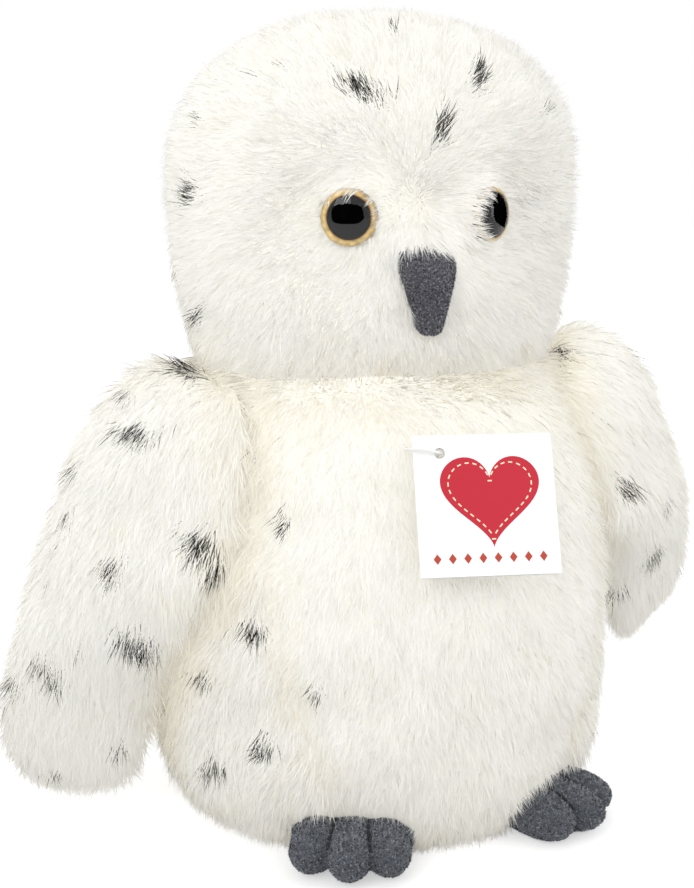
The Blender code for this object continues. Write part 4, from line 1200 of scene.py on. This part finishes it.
def joinedSkin(name, parts, materials):
    # overlapping closed forms become one skin by a fine voxel remesh, then it is smoothed
    mesh = meshFromArrays(name, *joinArrays(gridArrays(part) for part in parts))
    piece = linkObject(name, mesh, materials)
    remesh = piece.modifiers.new("skin", "REMESH")
    remesh.mode = "VOXEL"
    remesh.voxel_size = footFinish["voxel"]
    remesh.use_smooth_shade = True
    relax = piece.modifiers.new("relax", "SMOOTH")
    relax.factor = footFinish["relax"]
    relax.iterations = footFinish["smooth"]
    bpy.context.view_layer.update()
    graph = bpy.context.evaluated_depsgraph_get()
    skin = bpy.data.meshes.new_from_object(piece.evaluated_get(graph))
    piece.modifiers.clear()
    piece.data = skin
    for material in materials:
        if material.name not in skin.materials:
            skin.materials.append(material)
    return piece


def surfaceScatter(mesh, count):
    # points spread evenly over a mesh's quads and triangles
    mesh.calc_loop_triangles()
    corners = np.empty(len(mesh.loop_triangles) * 3, np.int32)
    mesh.loop_triangles.foreach_get("vertices", corners)
    points, normals = meshArrays(mesh)
    a, b, c = (points[corners.reshape(-1, 3)[:, k]] for k in range(3))
    area = np.linalg.norm(np.cross(b - a, c - a), axis=1)
    chosen = rng.choice(len(area), size=count, p=area / area.sum())
    u = rng.random((count, 2))
    u = np.where(u.sum(axis=1, keepdims=True) > 1, 1 - u, u)
    p, q = u[:, :1], u[:, 1:]
    spots = a[chosen] * (1 - p - q) + b[chosen] * p + c[chosen] * q
    return spots, normals[corners.reshape(-1, 3)[chosen, 0]]


def stitchGrid(start, end):
    # a short tube with round ends between two points
    columns = stitchForm["columns"]
    along = end - start
    axis = along / np.linalg.norm(along)
    across = unit(np.cross(axis, stitchForm["askew"]))
    other = np.cross(axis, across)
    t = np.linspace(stitchForm["pole"], np.pi - stitchForm["pole"], stitchForm["rows"])
    reach = stitchForm["radius"] * np.sin(t) ** stitchForm["roundness"]
    place = start + np.outer((1 - np.cos(t)) / 2, along)
    b = 2 * np.pi * np.arange(columns) / columns
    ring = across * np.cos(b)[:, None] + other * np.sin(b)[:, None]
    return place[:, None] + ring[None] * reach[:, None, None]


def toeStitches(sideSign, tree):
    # two rows of stitches, laid on the skin, draw the toes apart
    turn = sideSign * math.radians(footForm["splayDegrees"])
    c, s = math.cos(turn), math.sin(turn)
    step = stitchForm["length"] + stitchForm["gap"]
    stitches = []
    for divide in (-1, 1):
        for k in range(int((stitchForm["first"] - stitchForm["last"]) / step)):
            ends = []
            first = stitchForm["first"] - k * step
            for reach in (first, first - stitchForm["length"]):
                x = divide * (stitchForm["valleyX"] + stitchForm["valleySlope"] * reach)
                y = -reach
                top = Vector((x * c - y * s + sideSign * footForm["x"],
                              x * s + y * c + footForm["y"], stitchForm["above"]))
                place = tree.ray_cast(top, Vector((0, 0, -1)))[0]
                ends.append(np.array(place) + [0, 0, stitchForm["lift"]])
            stitches.append(gridArrays(stitchGrid(*ends)))
    return joinArrays(stitches)


for sideName, sideSign in sides.items():
    foot = joinedSkin("foot_fleece_" + sideName, footParts(sideName), [slateFleece])
    points, normals = meshArrays(foot.data)
    # the sole's seam is a shallow groove near the floor
    groove = fade(points[:, 2] - footFinish["seamHeight"], footFinish["seamWidth"])
    points -= normals * (groove * footFinish["seamDepth"])[:, None]
    points[:, 2] = np.maximum(points[:, 2], footForm["floor"])
    foot.data.vertices.foreach_set("co", points.astype(np.float32).reshape(-1))
    foot.data.update()
    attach(foot, "torso")
    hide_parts("foot_upper_" + sideName, "foot_sole_" + sideName,
                "foot_filling_" + sideName)
    roots, ways = surfaceScatter(foot.data, int(pileCounts["footNap"] * quickShare))
    offSeam = np.abs(roots[:, 2] - footFinish["seamHeight"]) > footFinish["seamWidth"]
    name = "foot_nap_" + sideName
    nap = linkObject(name, napMesh(name, roots[offSeam], ways[offSeam], napLook), slateNap)
    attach(nap, "torso")
    tree = BVHTree.FromPolygons(points.tolist(), [tuple(f.vertices) for f in foot.data.polygons])
    name = "toe_stitches_" + sideName
    stitches = linkObject(name, meshFromArrays(name, *toeStitches(sideSign, tree)),
                          [stitchThread])
    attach(stitches, "torso")
print("feet done")


# Eyes: a turned clear dome over a foil iris on a black plate


def turnedGrid(profile, columns=64):
    # r cos b, r sin b, h for each (r, h) of the profile
    profile = np.array(profile)
    b = 2 * np.pi * np.arange(columns) / columns
    r = profile[:, 0][:, None]
    return np.stack([r * np.cos(b), r * np.sin(b), np.repeat(profile[:, 1][:, None], columns, 1)],
                    axis=2)


irisForm = {
    # tones round the iris: distances from the pupil's edge and from the rim
    "pupilTone": "040405", "rimTone": "1d1710",
    "fromPupil": [(-0.006, "040405"), (0.004, "4a361c"), (0.016, "c69c58"), (0.050, "f0d596")],
    "fromRim": [(-0.045, "dfbc78"), (-0.018, "6b5330")], "metalEase": 0.02,
}


def irisMaterial():
    # gold hot-stamped foil round a black pupil: a soft metal ring with fine radial streaks
    material, tree, shader = startMaterial("gold foil iris", "d7a55a", 0.32,
                                           Specular_IOR_Level=0.0)
    place = addNode(tree, "ShaderNodeUVMap", uv_map="plan")
    centred = addNode(tree, "ShaderNodeVectorMath", [("Vector", place, "UV")],
                      operation="SUBTRACT")
    centred.inputs[1].default_value = (0.5, 0.5, 0)
    reach = addNode(tree, "ShaderNodeVectorMath", [("Vector", centred, "Vector")],
                    operation="LENGTH")
    rings = addNode(tree, "ShaderNodeValToRGB", [("Fac", reach, "Value")])
    ramp = rings.color_ramp
    # the plan's half width is the iris's radius
    half = 0.5
    pupil = eyeForm["pupilShare"] * half
    ramp.elements[0].color = linearColour(irisForm["pupilTone"])
    ramp.elements[1].position = half
    ramp.elements[1].color = linearColour(irisForm["rimTone"])
    for edge, rows in ((pupil, irisForm["fromPupil"]), (half, irisForm["fromRim"])):
        for offset, tone in rows:
            ramp.elements.new(edge + offset).color = linearColour(tone)
    # streaks of lighter and darker foil round the ring
    sweep = addNode(tree, "ShaderNodeTexNoise", [("Vector", centred, "Vector")], Scale=9.0,
                    Detail=3.0)
    contrast = addNode(tree, "ShaderNodeMapRange", [("Value", sweep, "Fac")], From_Min=0.35,
                       From_Max=0.65, To_Min=0.62, To_Max=1.12)
    toned = addNode(tree, "ShaderNodeVectorMath",
                    [("Vector", rings, "Color"), ("Scale", contrast, "Result")],
                    operation="SCALE")
    tree.links.new(toned.outputs["Vector"], shader.inputs["Base Color"])
    # the metal begins just outside the printed pupil
    metal = addNode(tree, "ShaderNodeMapRange", [("Value", reach, "Value")], From_Min=pupil,
                    From_Max=pupil + irisForm["metalEase"], To_Max=0.35)
    tree.links.new(metal.outputs["Result"], shader.inputs["Metallic"])
    streaks = addNode(tree, "ShaderNodeTexNoise", [("Vector", centred, "Vector")], Scale=60.0)
    addBump(tree, shader, streaks, "Fac", 0.1, 0.0001)
    return material


# polished: sharp highlights, and light falls through to the foil
domeClear = plain("clear cast acrylic", Transmission_Weight=1.0, IOR=1.49)
irisFoil = irisMaterial()
blackPlastic = plain("moulded black polypropylene")
foilRadius = eyeForm["radius"] - eyeForm["foilInset"]


def eyeProfiles():
    # radius and height along each turned part; the foil is stamped into the flat back of the
    # dome, with no air between
    radius, plate, hole = eyeForm["radius"], eyeForm["plateThickness"], eyeForm["hole"]
    seat = plate + eyeForm["seatGap"]
    foot = eyeForm["domeFootShare"]
    dome = [(hole, seat), (radius - eyeForm["rimWidth"], seat),
            (radius, seat + eyeForm["rimHeight"])]
    for a in np.radians(np.linspace(0, eyeForm["domeEndDegrees"], eyeForm["domeSteps"])):
        rise = eyeForm["domeHeight"] * (foot + (1 - foot) * math.sin(a))
        dome.append((radius * math.cos(a), seat + rise))
    low, high = (seat + height for height in eyeForm["foilHeights"])
    foil = [(hole, low), (foilRadius, low), (foilRadius, high), (hole, high)]
    back = eyeForm["shank"] + [(radius, 0), (radius, plate), (eyeForm["shank"][0][0], plate)]
    return dome, foil, back


def addPlan(piece, grid):
    # the foil's picture is laid on it from the front
    plan = piece.data.uv_layers.new(name="plan")
    corners = np.empty(len(piece.data.loops), np.int32)
    piece.data.loops.foreach_get("vertex_index", corners)
    spread = 0.5 + gridArrays(grid)[0][corners, :2] / (2 * foilRadius)
    plan.data.foreach_set("uv", np.ascontiguousarray(spread, np.float32).reshape(-1))


domeProfile, foilProfile, backProfile = eyeProfiles()
eyeParts = [("eye_lens_", domeProfile, domeClear, "clear_plastic", "eye_dome_"),
            ("eye_foil_", foilProfile, irisFoil, "iris_print", "eye_iris_"),
            ("eye_back_", backProfile, blackPlastic, "black_plastic", "eye_plate_")]
for sideName, sideSign in sides.items():
    for stem, profile, material, slot, node in eyeParts:
        grid = turnedGrid(profile)
        piece = closedGrid(stem + sideName, worldFrom(eyeMatrix(sideSign), grid), [material])
        if stem == "eye_foil_":
            addPlan(piece, grid)
        if stem == "eye_lens_":
            # light falls through the clear dome onto the foil
            piece.visible_shadow = False
        if stem == "eye_back_":
            piece.data.shade_smooth()
            piece.data.set_sharp_from_angle(angle=math.radians(eyeForm["sharpDegrees"]))
        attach(piece, "torso")
        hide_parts(node + sideName)

washerPlastic = plain("moulded white washer plastic")
for sideName in sides:
    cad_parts["eye_washer_" + sideName].material_slots[0].material = washerPlastic
print("eyes done")


# Hang tag and nylon pin


coatedCard = plain("coated white card", Coat_Weight=0.15)
nylon = plain("moulded clear nylon")
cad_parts["hang_tag_card"].material_slots[0].material = coatedCard
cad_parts["hang_tag_pin"].material_slots[0].material = nylon
tagForm = {
    "height": 0.0435, "x": 0.0002, "drop": 0.0366, "standOff": 0.0099, "yawDegrees": -15.0,
    "leanDegrees": 1.05, "rollDegrees": 0.4,
}
tagPrint = {
    "heartWidth": 0.0310, "heartMiddle": (0.0014, 0.0032), "dashes": 34, "dashInset": 0.84,
    "dashLength": 0.0013, "dashWidth": 0.00042, "diamonds": 8, "diamondStep": 0.0047,
    "diamondHalf": (0.0012, 0.0016), "diamondHeight": -0.0163, "ink": 0.00004,
    "inkBase": 0.00001, "threadShares": (0.5, 1.6), "outlinePoints": 96, "trackPoints": 720,
    "trackStep": 2,
}


def bellyY(x, z):
    # the belly's surface at a height, between the two rings there
    rings = np.array(bodyForm["shares"])
    heights = rings[:, 0] * bodyForm["neckHeight"]
    halfWidth = np.interp(z, heights, rings[:, 1] * bodyForm["halfWidth"])
    depth = np.interp(z, heights, rings[:, 2] * bodyForm["front"])
    return bodyForm["middleY"] - depth * math.sqrt(1 - (x / halfWidth) ** 2)


def tagMatrix():
    # the card leans as the belly does between the heights of its two edges
    z = bodyForm["neckHeight"] - tagForm["drop"]
    y = bellyY(tagForm["x"], z) - tagForm["standOff"]
    half = tagForm["height"] / 2
    rise = bellyY(tagForm["x"], z + half) - bellyY(tagForm["x"], z - half)
    tilt = tagForm["leanDegrees"] + math.degrees(math.atan2(rise, tagForm["height"]))
    return (Matrix.Translation((tagForm["x"], y, z))
            @ Matrix.Rotation(math.radians(tagForm["yawDegrees"]), 4, "Z")
            @ Matrix.Rotation(-math.radians(tilt), 4, "X")
            @ Matrix.Rotation(math.radians(tagForm["rollDegrees"]), 4, "Y"))


def inkPatch(outline, middle, low, high):
    # a thin closed patch of ink: the outline's edge from low to high, fans front and back
    count = len(outline)
    back = np.stack([outline[:, 0], np.full(count, low), outline[:, 1]], axis=1)
    front = np.stack([outline[:, 0], np.full(count, high), outline[:, 1]], axis=1)
    points = np.vstack([back, front, [(middle[0], low, middle[1])], [(middle[0], high, middle[1])]])
    here = np.arange(count)
    after = (here + 1) % count
    edge = np.stack([here, after, after + count, here + count], axis=1)
    fans = np.vstack([np.stack([after, here, np.full(count, 2 * count)], axis=1),
                      np.stack([here + count, after + count, np.full(count, 2 * count + 1)],
                               axis=1)])
    return points, edge, fans


def heartOutline(count, scale):
    # x = 16 sin^3 t, z = 13 cos t - 5 cos 2t - 2 cos 3t - cos 4t, scaled to the width
    t = 2 * np.pi * np.arange(count) / count
    x = 16 * np.sin(t) ** 3
    z = 13 * np.cos(t) - 5 * np.cos(2 * t) - 2 * np.cos(3 * t) - np.cos(4 * t)
    return np.stack([x, z], axis=1) * scale * tagPrint["heartWidth"] / 32


def printedTag():
    # pairs of a patch and its ink: the heart, the dashes of its stitched line, the diamonds
    middle = np.array(tagPrint["heartMiddle"])
    base, ink = tagPrint["inkBase"], tagPrint["ink"]
    heart = heartOutline(tagPrint["outlinePoints"], 1) + middle
    patches = [(inkPatch(heart, middle, base, -ink), 0)]
    low, high = tagPrint["threadShares"]
    step = tagPrint["trackStep"]
    track = heartOutline(tagPrint["trackPoints"], tagPrint["dashInset"])
    steps = np.linalg.norm(np.roll(track, -1, axis=0) - track, axis=1)
    travel = np.concatenate([[0], np.cumsum(steps)])
    for k in range(tagPrint["dashes"]):
        i = int(np.searchsorted(travel, travel[-1] * k / tagPrint["dashes"])) % len(track)
        way = unit(track[(i + step) % len(track)] - track[i - step])
        side = np.array([-way[1], way[0]])
        a, b = way * tagPrint["dashLength"] / 2, side * tagPrint["dashWidth"] / 2
        place = track[i] + middle
        corners = np.array([place - a - b, place + a - b, place + a + b, place - a + b])
        patches.append((inkPatch(corners, place, -ink * low, -ink * high), 1))
    for k in range(tagPrint["diamonds"]):
        x = (k - (tagPrint["diamonds"] - 1) / 2) * tagPrint["diamondStep"]
        place = np.array([x, tagPrint["diamondHeight"]])
        w, h = tagPrint["diamondHalf"]
        corners = place + np.array([(w, 0), (0, h), (-w, 0), (0, -h)])
        patches.append((inkPatch(corners, place, base, -ink), 2))
    points, faces = joinArrays(patch for patch, slot in patches)
    slots = np.concatenate([np.full(len(patch[k]), slot) for k in (1, 2)
                            for patch, slot in patches])
    mesh = meshFromArrays("tag_print", worldFrom(tagMatrix(), points), faces, slots,
                          smooth=False)
    work = bmesh.new()
    work.from_mesh(mesh)
    bmesh.ops.recalc_face_normals(work, faces=work.faces)
    work.to_mesh(mesh)
    work.free()
    inks = ("crimson offset ink", "cream offset ink", "rust offset ink")
    return linkObject("tag_print", mesh, [plain(name) for name in inks])


tagPicture = printedTag()
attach(tagPicture, "hang_tag")
print("tag done")


# Studio: a white sweep, a white world and two large soft lamps


studio = {
    "world": 0.98, "floorTone": "cecece", "floorGlow": 0.50, "floorReach": 3.0,
    "lampAim": (0, 0, 0.13), "flagCorners": 32,
    "key": {"place": (-1.30, -0.95, 1.10), "size": 1.2, "power": 11.0},
    "side": {"place": (1.5, -0.8, 0.6), "size": 1.2, "power": 6.6},
    # dark flags that only the eyes' polish shows: azimuth from the front towards the owl's
    # right, elevation, distance, half angles
    "flags": {"flagRight": (38, 7, 0.5, 38, 22), "flagLeft": (-92, 7, 0.5, 38, 22)},
}


def seenDirectly(tree, **levels):
    # camera, glossy and transmission rays see plain white: from one level to another
    light = addNode(tree, "ShaderNodeLightPath")
    seen = addNode(tree, "ShaderNodeMath", [(0, light, "Is Camera Ray"),
                                            (1, light, "Is Glossy Ray")], operation="MAXIMUM")
    seenAll = addNode(tree, "ShaderNodeMath", [(0, seen, 0), (1, light, "Is Transmission Ray")],
                      operation="MAXIMUM")
    return addNode(tree, "ShaderNodeMapRange", [("Value", seenAll, 0)], **levels)


world = bpy.data.worlds.new("studio")
bpy.context.scene.world = world
world.use_nodes = True
tree = world.node_tree
background = tree.nodes["Background"]
background.inputs["Color"].default_value = (1, 1, 1, 1)
level = seenDirectly(tree, To_Min=studio["world"], To_Max=1.0)
tree.links.new(level.outputs["Result"], background.inputs["Strength"])

floorPaper, tree, shader = startMaterial("white paper sweep", studio["floorTone"], 0.9,
                                         Emission_Color=(1, 1, 1, 1))
glow = seenDirectly(tree, To_Max=studio["floorGlow"])
tree.links.new(glow.outputs["Result"], shader.inputs["Emission Strength"])
floorMesh = bpy.data.meshes.new("floor")
reach = studio["floorReach"]
floorMesh.from_pydata([(-reach, -reach, 0), (reach, -reach, 0), (reach, reach, 0),
                       (-reach, reach, 0)], [], [(0, 1, 2, 3)])
linkObject("floor", floorMesh, [floorPaper])

for name in ("key", "side"):
    lamp = bpy.data.lights.new(name, "AREA")
    lamp.shape = "SQUARE"
    lamp.size = studio[name]["size"]
    lamp.energy = studio[name]["power"]
    holder = bpy.data.objects.new(name, lamp)
    bpy.context.collection.objects.link(holder)
    holder.location = studio[name]["place"]
    aim = Vector(studio["lampAim"]) - holder.location
    holder.rotation_euler = aim.to_track_quat("-Z", "Y").to_euler()

flagBlack = startMaterial("black studio flag", "020202", 1.0, Specular_IOR_Level=0.0)[0]
for name, (azimuth, elevation, distance, halfAcross, halfUp) in studio["flags"].items():
    pupil = np.array(eyeMatrix(-1 if azimuth > 0 else 1).translation)
    turn, lift = math.radians(azimuth), math.radians(elevation)
    ahead = np.array([-math.sin(turn) * math.cos(lift), -math.cos(turn) * math.cos(lift),
                      math.sin(lift)])
    across = unit(np.cross(ahead, [0, 0, 1]))
    upward = np.cross(across, ahead)
    wide = across * distance * math.tan(math.radians(halfAcross))
    tall = upward * distance * math.tan(math.radians(halfUp))
    middle = pupil + ahead * distance
    flagMesh = bpy.data.meshes.new(name)
    # a rounded square: the square roots of cosine and sine, with their signs
    b = 2 * np.pi * np.arange(studio["flagCorners"]) / studio["flagCorners"]
    rim = np.sqrt(np.abs([np.cos(b), np.sin(b)])) * np.sign([np.cos(b), np.sin(b)])
    flagMesh.from_pydata([tuple(middle + wide * h + tall * v) for h, v in rim.T], [],
                         [tuple(range(len(b)))])
    flag = linkObject(name, flagMesh, [flagBlack])
    for sight in ("camera", "diffuse", "transmission", "shadow"):
        setattr(flag, "visible_" + sight, False)
